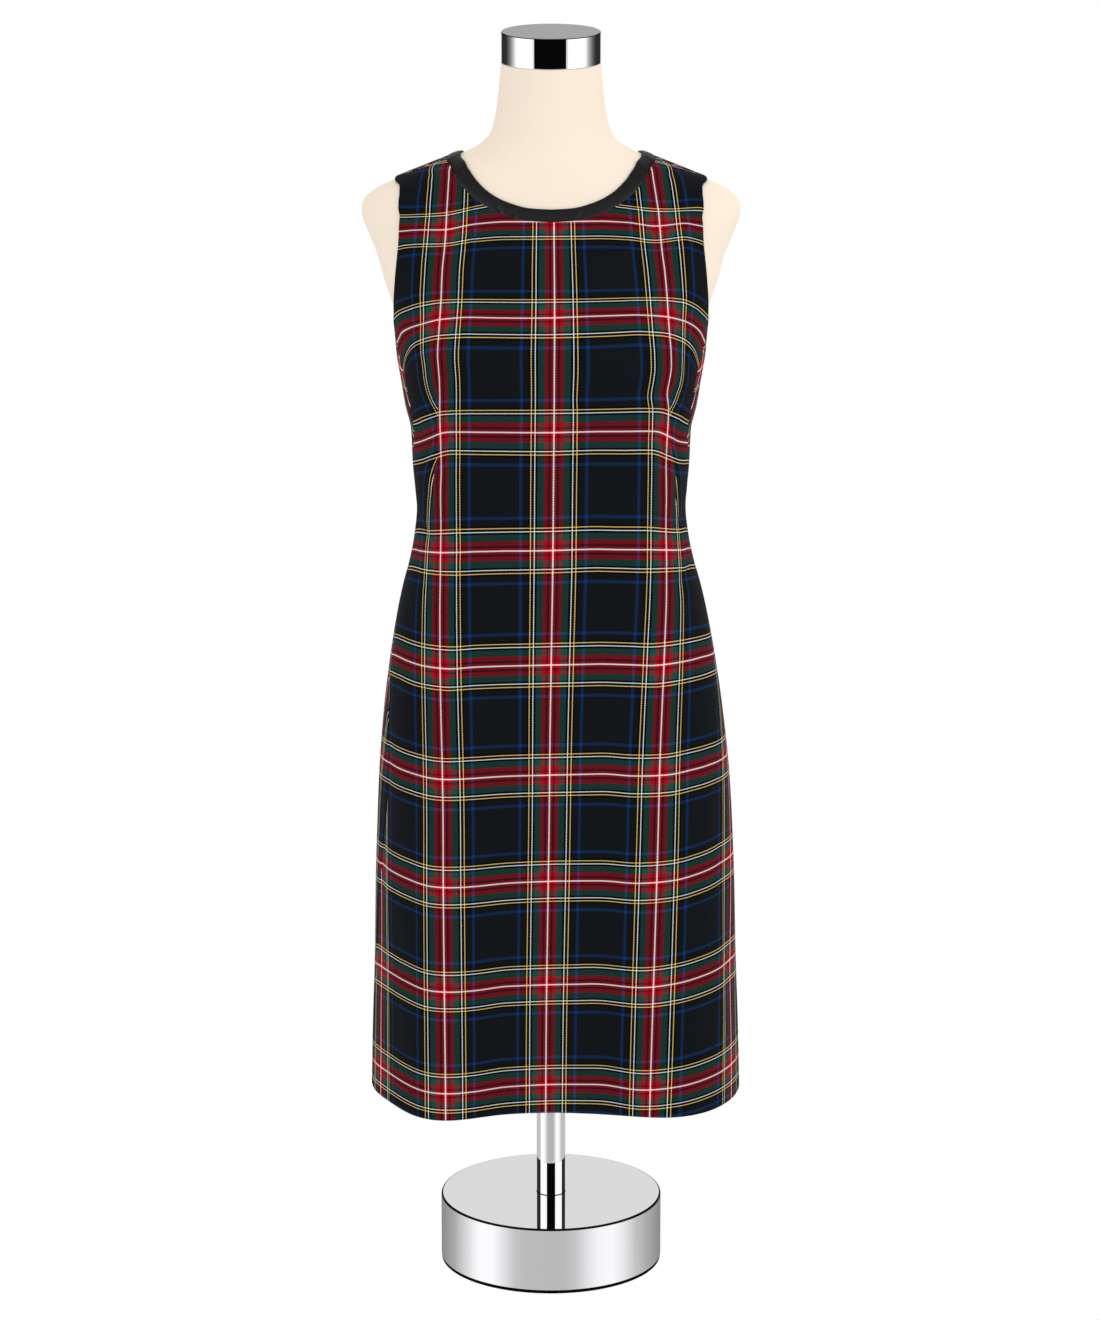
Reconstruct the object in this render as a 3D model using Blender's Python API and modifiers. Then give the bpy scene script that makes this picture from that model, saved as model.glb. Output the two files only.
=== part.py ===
"""A sleeveless shift dress in three cut panels with a bound neck and a centre back zip, worn by a limbless
dress form that stands on a pole and a round base.

Metres, +Z up. The origin is the middle of the base's underside and the front of the dress faces -Y.

The cloth and the form are both described by rings: level sections, each a rounded box that a row of a table
gives by its half width, its depth in front and behind, and how square its corners are. A place on a ring is
its girth: 0 at centre front, 0.5 at the side and 1 at centre back, negative on the -X side. A panel of the
dress is a patch of girth and height between its seams, set off from the ring surface by the cloth's wall.
"""

import math

import bmesh
import bpy
import numpy as np
from mathutils import Matrix, Vector

# ---------------------------------------------------------------- driving sizes

GAP = 0.0003  # between pieces that meet
CLOTH = 0.0015  # wall of the wool suiting, with its turnings
CLOTH_CLEARANCE = 0.0012  # between the form and the cloth that rests on it
BAND_WALL = 0.0019  # the neck binding is folded double

HEM_HEIGHT = 0.184
UNDERARM_HEIGHT = 0.948
SHOULDER_TIP_HEIGHT = 1.0850
NECK_POINT_HEIGHT = 1.1048
BAND_RISE_AT_SHOULDER = 0.0048
BAND_SEAM_GAP = 0.0005

BASE_RADIUS = 0.109
BASE_HEIGHT = 0.067
BASE_EDGE = 0.0016
POLE_RADIUS = 0.0142
CAP_RADIUS = 0.0473
CAP_HEIGHT = 0.0295
CAP_EDGE = 0.0012
FORM_BOTTOM = 0.392
NECK_TOP = 1.1975
FORM_BOTTOM_ROUND = 0.012

ZIP_TOP = 1.0832
ZIP_BOTTOM = 0.6400
ZIP_TAPE_WIDTH = 0.024
ZIP_TAPE_WALL = 0.0008
ZIP_TAPE_GAP = 0.0004
SLIDER_HEIGHT = 1.0700  # of the slider's middle
SLIDER_LENGTH = 0.0078
SLIDER_WIDTH = 0.0062
SLIDER_WALL = 0.0022
EAR_WALL = 0.0010
EAR_LENGTH = 0.0022
EAR_RISE = 0.0010  # of the ears past the pin's middle
PIN_RADIUS = 0.00055
EYE_BORE = 0.00085
EYE_RADIUS = 0.00135
EYE_WIDTH = 0.0026
PULL_LENGTH = 0.0215
PULL_WIDTH = 0.0052
PULL_WALL = 0.0011
PULL_LEAN = 9.3  # degrees that the pull leans in from the slider to rest on the cloth
ROUND_STEPS = 20

# ---------------------------------------------------------------- ring tables

RING_COLUMNS = ("height", "half_width", "front", "back", "front_square", "back_square")

# Chest, shoulder caps and neck: the cloth rests on the form here, so both share these rings.
SHOULDER_RINGS = [
    (0.9620, 0.1492, 0.1165, 0.1000, 2.50, 2.30),
    (0.9886, 0.1580, 0.1050, 0.0985, 2.30, 2.20),
    (1.0167, 0.1660, 0.0925, 0.0945, 2.15, 2.10),
    (1.0379, 0.1745, 0.0830, 0.0895, 2.05, 2.05),
    (1.0543, 0.1798, 0.0758, 0.0840, 2.00, 2.00),
    (1.0630, 0.1795, 0.0722, 0.0806, 2.00, 2.00),
    (1.0707, 0.1742, 0.0692, 0.0774, 2.00, 2.00),
    (1.0784, 0.1628, 0.0664, 0.0742, 2.00, 2.00),
    (1.0860, 0.1448, 0.0640, 0.0710, 2.00, 2.00),
    (1.0955, 0.1210, 0.0614, 0.0670, 2.00, 2.00),
    (1.1052, 0.0964, 0.0592, 0.0632, 2.00, 2.00),
    (1.1100, 0.0835, 0.0580, 0.0612, 2.00, 2.00),
    (1.1196, 0.0700, 0.0560, 0.0580, 2.00, 2.00),
    (1.1311, 0.0587, 0.0533, 0.0550, 2.00, 2.00),
    (1.1512, 0.0520, 0.0503, 0.0513, 2.00, 2.00),
    (1.1722, 0.0494, 0.0484, 0.0488, 2.00, 2.00),
    (1.1975, 0.0473, 0.0470, 0.0470, 2.00, 2.00),
]

# The form below the arms, cut off across the thighs inside the skirt.
FORM_RINGS = [
    (0.3920, 0.1480, 0.0930, 0.1000, 2.30, 2.30),
    (0.4600, 0.1565, 0.0980, 0.1100, 2.30, 2.30),
    (0.5300, 0.1585, 0.1000, 0.1145, 2.30, 2.30),
    (0.6000, 0.1515, 0.0985, 0.1085, 2.30, 2.30),
    (0.6600, 0.1395, 0.0955, 0.0955, 2.35, 2.30),
    (0.7200, 0.1265, 0.0925, 0.0835, 2.40, 2.30),
    (0.7700, 0.1210, 0.0925, 0.0770, 2.45, 2.30),
    (0.8200, 0.1240, 0.0985, 0.0795, 2.50, 2.30),
    (0.8700, 0.1330, 0.1110, 0.0870, 2.60, 2.30),
    (0.9150, 0.1420, 0.1240, 0.0950, 2.75, 2.30),
    (0.9400, 0.1455, 0.1228, 0.0985, 2.65, 2.30),
]

# The dress below the arms, from the hem up: it clears the form but for the bust.
DRESS_RINGS = [
    (0.1840, 0.1785, 0.0990, 0.1160, 2.55, 2.50),
    (0.2500, 0.1767, 0.1005, 0.1155, 2.55, 2.50),
    (0.3255, 0.1740, 0.1020, 0.1155, 2.55, 2.50),
    (0.3944, 0.1726, 0.1040, 0.1160, 2.55, 2.50),
    (0.4364, 0.1711, 0.1050, 0.1170, 2.55, 2.50),
    (0.5025, 0.1678, 0.1065, 0.1185, 2.60, 2.40),
    (0.5650, 0.1620, 0.1055, 0.1175, 2.60, 2.40),
    (0.6200, 0.1545, 0.1025, 0.1140, 2.60, 2.40),
    (0.6577, 0.1480, 0.1000, 0.1080, 2.60, 2.40),
    (0.6877, 0.1415, 0.0985, 0.1030, 2.65, 2.40),
    (0.7136, 0.1345, 0.0975, 0.0975, 2.70, 2.40),
    (0.7384, 0.1296, 0.0970, 0.0920, 2.80, 2.40),
    (0.7672, 0.1267, 0.0975, 0.0880, 2.80, 2.40),
    (0.7929, 0.1283, 0.0990, 0.0865, 2.80, 2.40),
    (0.8107, 0.1299, 0.1010, 0.0870, 2.80, 2.40),
    (0.8481, 0.1316, 0.1080, 0.0910, 2.75, 2.40),
    (0.8716, 0.1369, 0.1140, 0.0945, 2.75, 2.40),
    (0.8990, 0.1412, 0.1215, 0.0980, 2.80, 2.40),
    (0.9215, 0.1448, 0.1250, 0.0998, 2.80, 2.35),
    (0.9420, 0.1466, 0.1235, 0.1002, 2.70, 2.30),
]

# How far the skirt hangs to the +X side of the pole.
SWAY_COLUMNS = ("height", "sway")
SWAY_ROWS = [(0.184, 0.0040), (0.45, 0.0035), (0.60, 0.0018), (0.72, 0.0006), (0.80, 0.0)]

# Where the side seams run, as girth.
SEAM_COLUMNS = ("height", "minus_x", "plus_x")
SEAM_ROWS = [
    (0.184, 0.460, 0.500),
    (0.300, 0.447, 0.499),
    (0.380, 0.430, 0.497),
    (0.450, 0.406, 0.494),
    (0.500, 0.388, 0.492),
    (0.540, 0.395, 0.492),
    (0.600, 0.440, 0.492),
    (0.660, 0.474, 0.490),
    (0.740, 0.486, 0.486),
    (0.780, 0.476, 0.472),
    (0.820, 0.436, 0.428),
    (0.860, 0.385, 0.378),
    (0.885, 0.368, 0.366),
    (0.905, 0.370, 0.363),
    (0.920, 0.385, 0.374),
    (0.935, 0.412, 0.405),
    (0.948, 0.440, 0.440),
]

# The soft flutes of the skirt: how far round from centre front or back, how wide, how far they stand out at
# the hem, and the height where they have died away.
FLUTE_COLUMNS = ("face", "side", "along", "spread", "depth", "top")
FLUTES = [
    ("front", -1, 0.108, 0.044, 0.0330, 0.76),
    ("front", +1, 0.118, 0.056, 0.0255, 0.66),
    ("front", +1, 0.000, 0.030, -0.0020, 0.45),
    ("back", -1, 0.104, 0.045, 0.0200, 0.62),
    ("back", +1, 0.126, 0.040, 0.0260, 0.66),
    ("back", +1, 0.010, 0.034, -0.0040, 0.45),
]

# Neckline and armholes in front view: the front's are lower in the middle and cut further in.
# Each row is how far across and how high.
FRONT_NECKLINE = [
    (0.0000, 1.0577),
    (0.0230, 1.0590),
    (0.0430, 1.0638),
    (0.0640, 1.0730),
    (0.0800, 1.0845),
    (0.0905, 1.0965),
    (0.0950, 1.1025),
]
BACK_NECKLINE = [
    (0.0000, 1.0840),
    (0.0350, 1.0855),
    (0.0600, 1.0893),
    (0.0800, 1.0950),
    (0.0905, 1.0998),
    (0.0955, 1.1035),
]
FRONT_ARMHOLE = [
    (0.1490, 0.9640),
    (0.1469, 1.0000),
    (0.1438, 1.0310),
    (0.1426, 1.0555),
    (0.1432, 1.0755),
    (0.1443, 1.0837),
]
BACK_ARMHOLE = [
    (0.1500, 0.9640),
    (0.1500, 1.0000),
    (0.1478, 1.0310),
    (0.1458, 1.0555),
    (0.1447, 1.0755),
    (0.1447, 1.0837),
]

# Inner edge of the neck binding, up the neck from the seam with the panels.
FRONT_BAND_EDGE = [
    (0.0000, 1.0692),
    (0.0190, 1.0702),
    (0.0385, 1.0747),
    (0.0560, 1.0825),
    (0.0685, 1.0925),
    (0.0765, 1.1015),
    (0.0812, 1.1070),
]
BACK_BAND_EDGE = [
    (0.0000, 1.0975),
    (0.0300, 1.0988),
    (0.0520, 1.1020),
    (0.0690, 1.1062),
    (0.0780, 1.1083),
    (0.0820, 1.1093),
]

SPINE_HOLLOW = 0.0042  # the form is hollowed along centre back, which leaves room for the zip
SPINE_SPREAD = 0.034
SPINE_TOP = 1.100
SPINE_FADE = 0.030  # height over which the hollow dies away below its top

# ---------------------------------------------------------------- mesh counts

HALF_COLUMNS = 14
SKIRT_ROWS = 21
CHEST_ROWS = 8
NECK_ROWS = 10
BAND_ROWS = 2
PATH_STEPS = 240
PATH_METRIC = np.array([0.42, 1.0])  # metres to a unit of girth, and to a unit of height
FORM_COLUMNS = 32
FORM_ROW_BELOW_BUST = 0.036
FORM_ROW_ABOVE_BUST = 0.0095
FORM_BUST_HEIGHT = 0.915
TURNED_STEPS = 48
QUARTER_STEPS = 46


# ---------------------------------------------------------------- tables to curves


def named_rows(columns, rows):
    """A dictionary of columns, each a list, from rows of a table."""
    return {name: [row[place] for row in rows] for place, name in enumerate(columns)}


def slope_at(xs, ys, place):
    """The slope of a smooth curve through a table at one row, flat at peaks so that it never overshoots."""
    if place == 0:
        return (ys[1] - ys[0]) / (xs[1] - xs[0])
    if place == len(xs) - 1:
        return (ys[-1] - ys[-2]) / (xs[-1] - xs[-2])
    before = (ys[place] - ys[place - 1]) / (xs[place] - xs[place - 1])
    after = (ys[place + 1] - ys[place]) / (xs[place + 1] - xs[place])
    if before * after <= 0:
        return 0.0
    return 2 * before * after / (before + after)


class Curve:
    """A smooth curve through the rows of a table."""

    def __init__(self, xs, ys):
        self.xs = [float(x) for x in xs]
        self.ys = [float(y) for y in ys]
        self.slopes = [slope_at(self.xs, self.ys, place) for place in range(len(xs))]

    def __call__(self, x):
        x = min(max(x, self.xs[0]), self.xs[-1])
        place = int(np.searchsorted(self.xs, x)) - 1
        place = min(max(place, 0), len(self.xs) - 2)
        width = self.xs[place + 1] - self.xs[place]
        share = (x - self.xs[place]) / width
        bend = share * share * (3 - 2 * share)
        value = self.ys[place] * (1 - bend) + self.ys[place + 1] * bend
        value += self.slopes[place] * width * share * (1 - share) ** 2
        value -= self.slopes[place + 1] * width * share**2 * (1 - share)
        return value


def table_curves(columns, rows):
    """One curve over height for each other column of a table."""
    table = named_rows(columns, rows)
    return {name: Curve(table["height"], table[name]) for name in columns if name != "height"}


FORM = table_curves(RING_COLUMNS, FORM_RINGS + SHOULDER_RINGS)
DRESS = table_curves(RING_COLUMNS, DRESS_RINGS + SHOULDER_RINGS)
SWAY = table_curves(SWAY_COLUMNS, SWAY_ROWS)["sway"]
SEAMS = table_curves(SEAM_COLUMNS, SEAM_ROWS)

# ---------------------------------------------------------------- the ring surfaces


def quarter_ring(half_width, depth, square):
    """A quarter of a rounded box, from its middle (0, depth) to its side (half_width, 0), and its run."""
    angle = np.linspace(0.0, math.pi / 2, QUARTER_STEPS)
    sine, cosine = np.sin(angle), np.cos(angle)
    reach = ((sine / half_width) ** square + (cosine / depth) ** square) ** (-1.0 / square)
    across, deep = reach * sine, reach * cosine
    steps = np.hypot(np.diff(across), np.diff(deep))
    run = np.concatenate([[0.0], np.cumsum(steps)])
    return across, deep, run


def wrapped(girth):
    """Girth brought back between -1 and 1."""
    return (girth + 1.0) % 2.0 - 1.0


def ring_point(rings, girth, height):
    """A point of a ring without flutes: x, y, the way out there, the face and the run from its middle."""
    share = abs(wrapped(girth))
    side = 1.0 if wrapped(girth) >= 0 else -1.0
    face = "front" if share <= 0.5 else "back"
    from_middle = share if face == "front" else 1.0 - share
    depth = rings[face](height)
    across, deep, run = quarter_ring(rings["half_width"](height), depth, rings[face + "_square"](height))
    place = from_middle / 0.5 * run[-1]
    x = np.interp(place, run, across)
    y = np.interp(place, run, deep)
    middles = (run[1:] + run[:-1]) / 2
    along_x = np.interp(place, middles, np.diff(across) / np.diff(run))
    along_y = np.interp(place, middles, np.diff(deep) / np.diff(run))
    facing = -1.0 if face == "front" else 1.0
    out_x, out_y = -along_y * side, along_x * facing
    size = math.hypot(out_x, out_y)
    return side * x, facing * y, out_x / size, out_y / size, face, side * place


def fade(height, bottom, top):
    """1 at the bottom of a stretch, 0 at its top and above, smooth between."""
    share = min(max((top - height) / (top - bottom), 0.0), 1.0)
    return share * share * (3 - 2 * share)


def flute_depth(face, place, height):
    """How far the flutes push the skirt out at a run from the middle of one face."""
    depth = 0.0
    for row in FLUTES:
        flute = dict(zip(FLUTE_COLUMNS, row))
        if flute["face"] == face:
            away = (place - flute["side"] * flute["along"]) / flute["spread"]
            depth += flute["depth"] * fade(height, HEM_HEIGHT, flute["top"]) * math.exp(-away * away)
    return depth


def dress_ring(girth, height):
    """The surface on which the dress's wall is built, flutes included."""
    x, y, out_x, out_y, face, place = ring_point(DRESS, girth, height)
    depth = flute_depth(face, place, height)
    return np.array([x + out_x * depth + SWAY(height), y + out_y * depth, height])


def form_ring(girth, height):
    """The form's own surface, with a soft hollow along the spine."""
    x, y, out_x, out_y, face, place = ring_point(FORM, girth, height)
    hollow = 0.0
    if face == "back":
        across = math.exp(-((place / SPINE_SPREAD) ** 2))
        hollow = SPINE_HOLLOW * fade(height, SPINE_TOP - SPINE_FADE, SPINE_TOP) * across
    return np.array([x - out_x * hollow, y - out_y * hollow, height])


def outward(surface, girth, height):
    """The unit normal of a ring surface, pointing out."""
    small_girth, small_height = 0.002, 0.0008
    around = surface(girth + small_girth, height) - surface(girth - small_girth, height)
    upward = surface(girth, height + small_height) - surface(girth, height - small_height)
    normal = np.cross(around, upward)
    return normal / np.linalg.norm(normal)


def girth_at(across, height, face):
    """The girth where a ring reaches a distance across from its middle, on one face."""
    quarter_x, _, run = quarter_ring(
        DRESS["half_width"](height), DRESS[face](height), DRESS[face + "_square"](height)
    )
    share = 0.5 * np.interp(across, quarter_x, run) / run[-1]
    return share if face == "front" else 1.0 - share


def girth_of_length(length, height, face):
    """The share of girth that a length along the ring takes up."""
    run = quarter_ring(DRESS["half_width"](height), DRESS[face](height), DRESS[face + "_square"](height))[2]
    return 0.5 * length / run[-1]


# ---------------------------------------------------------------- edges of the panels


def smooth_path(points, count):
    """Evenly spaced points along a smooth curve through a few points of girth and height."""
    points = np.array(points, dtype=float)
    steps = np.linalg.norm(np.diff(points * PATH_METRIC, axis=0), axis=1)
    along = np.concatenate([[0.0], np.cumsum(steps)])
    girth = Curve(along, points[:, 0])
    height = Curve(along, points[:, 1])
    fine = np.linspace(0.0, along[-1], PATH_STEPS)
    traced = np.array([(girth(place), height(place)) for place in fine])
    lengths = np.linalg.norm(np.diff([dress_ring(g, h) for g, h in traced], axis=0), axis=1)
    run = np.concatenate([[0.0], np.cumsum(lengths)])
    spaced = np.linspace(0.0, run[-1], count)
    return np.stack([np.interp(spaced, run, traced[:, 0]), np.interp(spaced, run, traced[:, 1])], axis=1)


def edge_points(rows, face):
    """Points of girth and height from an edge that is given as seen from the front."""
    return [(girth_at(across, height, face), height) for across, height in rows]


def neck_edge(rows, face, top):
    """An edge round the neck from the centre line to the shoulder ridge."""
    return smooth_path(edge_points(rows, face) + [(0.5, top)], NECK_ROWS + 1)


def seam_girth(side, height):
    return SEAMS["plus_x" if side > 0 else "minus_x"](height)


def armhole_edge(face, side):
    """The armhole from the side seam at the underarm up to the shoulder tip."""
    rows = FRONT_ARMHOLE if face == "front" else BACK_ARMHOLE
    start = [(seam_girth(side, UNDERARM_HEIGHT), UNDERARM_HEIGHT)]
    end = [(0.5, SHOULDER_TIP_HEIGHT)]
    return smooth_path(start + edge_points(rows, face) + end, CHEST_ROWS + NECK_ROWS + 1)


def half_panel_edges(face, side):
    """Four edges of half a panel: middle with neckline, side with armhole, hem and shoulder."""
    neck = neck_edge(FRONT_NECKLINE if face == "front" else BACK_NECKLINE, face, NECK_POINT_HEIGHT)
    middle_girth = neck[0][0]
    skirt = [(middle_girth, height) for height in np.linspace(HEM_HEIGHT, UNDERARM_HEIGHT, SKIRT_ROWS + 1)]
    chest = [(middle_girth, height) for height in np.linspace(UNDERARM_HEIGHT, neck[0][1], CHEST_ROWS + 1)]
    middle = np.array(skirt + chest[1:] + list(neck[1:]))

    seam_heights = np.linspace(HEM_HEIGHT, UNDERARM_HEIGHT, SKIRT_ROWS + 1)
    side_seam = [(seam_girth(side, height), height) for height in seam_heights]
    outer = np.array(side_seam + list(armhole_edge(face, side)[1:]))

    hem_girths = np.linspace(middle_girth, outer[0][0], HALF_COLUMNS + 1)
    hem = np.array([(girth, HEM_HEIGHT) for girth in hem_girths])
    shoulder_heights = np.linspace(NECK_POINT_HEIGHT, SHOULDER_TIP_HEIGHT, HALF_COLUMNS + 1)
    shoulder = np.array([(0.5, height) for height in shoulder_heights])
    return middle, outer, hem, shoulder


def patch_between(middle, outer, bottom, top):
    """Fill four edges with a grid of girth and height: rows run up, columns run out from the middle."""
    rows, columns = len(middle), len(bottom)
    grid = np.zeros((rows, columns, 2))
    for row in range(rows):
        up = row / (rows - 1)
        for column in range(columns):
            out = column / (columns - 1)
            ruled_across = (1 - out) * middle[row] + out * outer[row]
            ruled_up = (1 - up) * bottom[column] + up * top[column]
            corners = (1 - up) * ((1 - out) * bottom[0] + out * bottom[-1])
            corners = corners + up * ((1 - out) * top[0] + out * top[-1])
            grid[row, column] = ruled_across + ruled_up - corners
    return grid


def draw_back(place, face):
    """Move one point of a grid off the side seam or the shoulder seam by half a seam gap."""
    sign = -1 if face == "front" else 1
    place[0] += sign * girth_of_length(GAP / 2, place[1], face)


def half_panel(face, side):
    """The grid of half a panel, parted from its neighbour along the side seam and the shoulder seam."""
    grid = patch_between(*half_panel_edges(face, side))
    for row in range(len(grid)):
        draw_back(grid[row, -1], face)
    for column in range(grid.shape[1] - 1):
        draw_back(grid[-1, column], face)
    return grid


# ---------------------------------------------------------------- walls


def wall_object(name, patches, wall, material, inner_offset=CLOTH_CLEARANCE):
    """A closed wall over patches of girth and height, which join where their points are the same."""
    mesh = bmesh.new()
    made = {}

    def vertex(place, offset):
        key = (round(place[0], 6), round(place[1], 6), offset)
        if key not in made:
            point = dress_ring(*place) + outward(dress_ring, *place) * offset
            made[key] = mesh.verts.new(point)
        return made[key]

    outer_offset = inner_offset + wall
    edge_uses = {}
    for grid in patches:
        for row in range(grid.shape[0] - 1):
            for column in range(grid.shape[1] - 1):
                below, above = grid[row], grid[row + 1]
                corners = [below[column], below[column + 1], above[column + 1], above[column]]
                outer = [vertex(corner, outer_offset) for corner in corners]
                inner = [vertex(corner, inner_offset) for corner in corners]
                mesh.faces.new(outer)
                mesh.faces.new(inner[::-1])
                for place in range(4):
                    after = (place + 1) % 4
                    edge = frozenset((outer[place], outer[after]))
                    rim = (outer[after], outer[place], inner[place], inner[after])
                    edge_uses.setdefault(edge, []).append(rim)
    for rims in edge_uses.values():
        if len(rims) == 1:
            mesh.faces.new(rims[0])
    bmesh.ops.recalc_face_normals(mesh, faces=mesh.faces)
    return mesh_object(name, mesh, material)


def mesh_object(name, mesh, material, smooth_degrees=40.0):
    """Turn a bmesh into a named object of the part's collection."""
    data = bpy.data.meshes.new(name)
    mesh.to_mesh(data)
    mesh.free()
    data.materials.append(material)
    data.shade_smooth()
    data.set_sharp_from_angle(angle=math.radians(smooth_degrees))
    made = bpy.data.objects.new(name, data)
    PART.objects.link(made)
    return made


# ---------------------------------------------------------------- scene and materials


def clear_scene():
    for old in list(bpy.data.objects):
        bpy.data.objects.remove(old, do_unlink=True)


def new_collection(name):
    made = bpy.data.collections.new(name)
    bpy.context.scene.collection.children.link(made)
    return made


def new_material(name, colour, roughness, metallic=0.0):
    made = bpy.data.materials.new(name)
    made.use_nodes = True
    shader = made.node_tree.nodes["Principled BSDF"]
    shader.inputs["Base Color"].default_value = (*colour, 1.0)
    shader.inputs["Roughness"].default_value = roughness
    shader.inputs["Metallic"].default_value = metallic
    return made


clear_scene()
PART = new_collection("shift_dress_on_form")
TOOLS = new_collection("tools")
TARTAN = new_material("tartan_wool", (0.035, 0.035, 0.045), 0.85)
BINDING = new_material("black_satin_binding", (0.006, 0.006, 0.007), 0.45)
JERSEY = new_material("cream_cotton_jersey", (0.85, 0.78, 0.70), 0.80)
CHROME = new_material("polished_chrome", (0.80, 0.80, 0.80), 0.06, 1.0)
ZIP_TAPE = new_material("black_polyester_tape", (0.010, 0.010, 0.012), 0.80)
ZIP_METAL = new_material("black_enamelled_zinc", (0.012, 0.012, 0.013), 0.35, 0.2)


# ---------------------------------------------------------------- the dress


def mirrored(grid):
    return grid * np.array([-1.0, 1.0])


def build_front():
    """The front: one piece from side seam to side seam, with its waist shaped by two darts."""
    halves = [half_panel("front", 1), mirrored(half_panel("front", -1))]
    return wall_object("front", halves, CLOTH, TARTAN)


def build_back(side, name):
    """One half of the back, from the side seam to the zip at centre back."""
    grid = half_panel("back", side)
    for row in grid[: SKIRT_ROWS + CHEST_ROWS + 1]:
        row[0][0] -= girth_of_length(GAP / 2, row[0][1], "back")
    return wall_object(name, [grid if side > 0 else mirrored(grid)], CLOTH, TARTAN)


def build_band(face, name):
    """Half of the neck binding, from shoulder seam to shoulder seam, standing on the panels' neck edge."""
    seam_rows = FRONT_NECKLINE if face == "front" else BACK_NECKLINE
    top_rows = FRONT_BAND_EDGE if face == "front" else BACK_BAND_EDGE
    seam = neck_edge(seam_rows, face, NECK_POINT_HEIGHT)
    top = neck_edge(top_rows, face, NECK_POINT_HEIGHT + BAND_RISE_AT_SHOULDER)
    grid = np.stack([seam + (top - seam) * row / BAND_ROWS for row in range(BAND_ROWS + 1)])
    for row in grid:
        draw_back(row[-1], face)
    for column in range(grid.shape[1]):
        start, above = grid[0, column].copy(), grid[1, column]
        length = np.linalg.norm(dress_ring(*above) - dress_ring(*start))
        grid[0, column] = start + (above - start) * (BAND_SEAM_GAP / length)
    other = mirrored(grid)
    if face == "back":
        other[:, 0, 0] += 2.0
    return wall_object(name, [grid, other], BAND_WALL, BINDING)


build_front()
build_back(1, "back_left")
build_back(-1, "back_right")
build_band("front", "neck_band_front")
build_band("back", "neck_band_back")


# ---------------------------------------------------------------- the concealed zip


def build_zip_tape():
    """The zip's two tapes and its closed chain as one strip, inside the back along the seam."""
    middle = half_panel_edges("back", 1)[0]
    heights = [height for height in middle[:, 1] if ZIP_BOTTOM < height < ZIP_TOP] + [ZIP_TOP]
    grid = np.zeros((len(heights), 3, 2))
    for row, height in enumerate(heights):
        reach = girth_of_length(ZIP_TAPE_WIDTH / 2, height, "back")
        for column, girth in enumerate((1.0 + reach, 1.0, 1.0 - reach)):
            grid[row, column] = (girth, height)
    inner_offset = CLOTH_CLEARANCE - ZIP_TAPE_GAP - ZIP_TAPE_WALL
    return wall_object("zip_tape", [grid], ZIP_TAPE_WALL, ZIP_TAPE, inner_offset)


def back_frame():
    """A frame on the cloth at the slider: X right as seen from behind, Y up the seam, Z out of the back."""
    outside = Vector(outward(dress_ring, 1.0, SLIDER_HEIGHT))
    outside.x = 0.0
    outside.normalize()
    right = Vector((-1.0, 0.0, 0.0))
    up = outside.cross(right)
    origin = Vector(dress_ring(1.0, SLIDER_HEIGHT)) + outside * (CLOTH_CLEARANCE + CLOTH + GAP)
    frame = Matrix((right, up, outside)).transposed().to_4x4()
    frame.translation = Vector((0.0, origin.y, origin.z))
    return frame


def flat_plate(name, outline, low, wall, frame, material):
    """A plate from a flat outline in a frame's XY plane, between two levels of its Z."""
    curve = bpy.data.curves.new(name + "_outline", "CURVE")
    curve.dimensions = "2D"
    curve.fill_mode = "BOTH"
    curve.extrude = wall / 2
    spline = curve.splines.new("POLY")
    spline.points.add(len(outline) - 1)
    for point, (x, y) in zip(spline.points, outline):
        point.co = (x, y, 0.0, 1.0)
    spline.use_cyclic_u = True
    drawn = bpy.data.objects.new(name + "_outline", curve)
    PART.objects.link(drawn)
    bpy.context.view_layer.update()
    evaluated = drawn.evaluated_get(bpy.context.evaluated_depsgraph_get())
    data = bpy.data.meshes.new_from_object(evaluated)
    bpy.data.objects.remove(drawn, do_unlink=True)
    mesh = bmesh.new()
    mesh.from_mesh(data)
    bmesh.ops.remove_doubles(mesh, verts=mesh.verts, dist=0.000001)
    bmesh.ops.translate(mesh, verts=mesh.verts, vec=(0.0, 0.0, low + wall / 2))
    bmesh.ops.recalc_face_normals(mesh, faces=mesh.faces)
    bpy.data.meshes.remove(data)
    made = mesh_object(name, mesh, material)
    made.matrix_world = frame
    return made


def cylinder_along_x(name, radius, length, centre, frame, collection):
    """A round bar along a frame's X, with its middle at a height over the frame's origin."""
    mesh = bmesh.new()
    bmesh.ops.create_cone(
        mesh, cap_ends=True, segments=ROUND_STEPS, radius1=radius, radius2=radius, depth=length
    )
    bmesh.ops.rotate(mesh, verts=mesh.verts, matrix=Matrix.Rotation(math.pi / 2, 3, "Y"))
    data = bpy.data.meshes.new(name)
    mesh.to_mesh(data)
    mesh.free()
    made = bpy.data.objects.new(name, data)
    made.matrix_world = frame @ Matrix.Translation(centre)
    collection.objects.link(made)
    return made


def box(name, size, centre, frame):
    """A box tool in a frame, for the Booleans."""
    mesh = bmesh.new()
    bmesh.ops.create_cube(mesh, size=1.0, matrix=Matrix.Diagonal((*size, 1.0)))
    data = bpy.data.meshes.new(name)
    mesh.to_mesh(data)
    mesh.free()
    made = bpy.data.objects.new(name, data)
    made.matrix_world = frame @ Matrix.Translation(centre)
    TOOLS.objects.link(made)
    return made


def apply_tool(target, tool, operation):
    """Join a tool to a piece, or cut it away."""
    tool.hide_render = True
    tool.display_type = "WIRE"
    modifier = target.modifiers.new(tool.name, "BOOLEAN")
    modifier.operation = operation
    modifier.solver = "EXACT"
    modifier.object = tool


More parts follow.
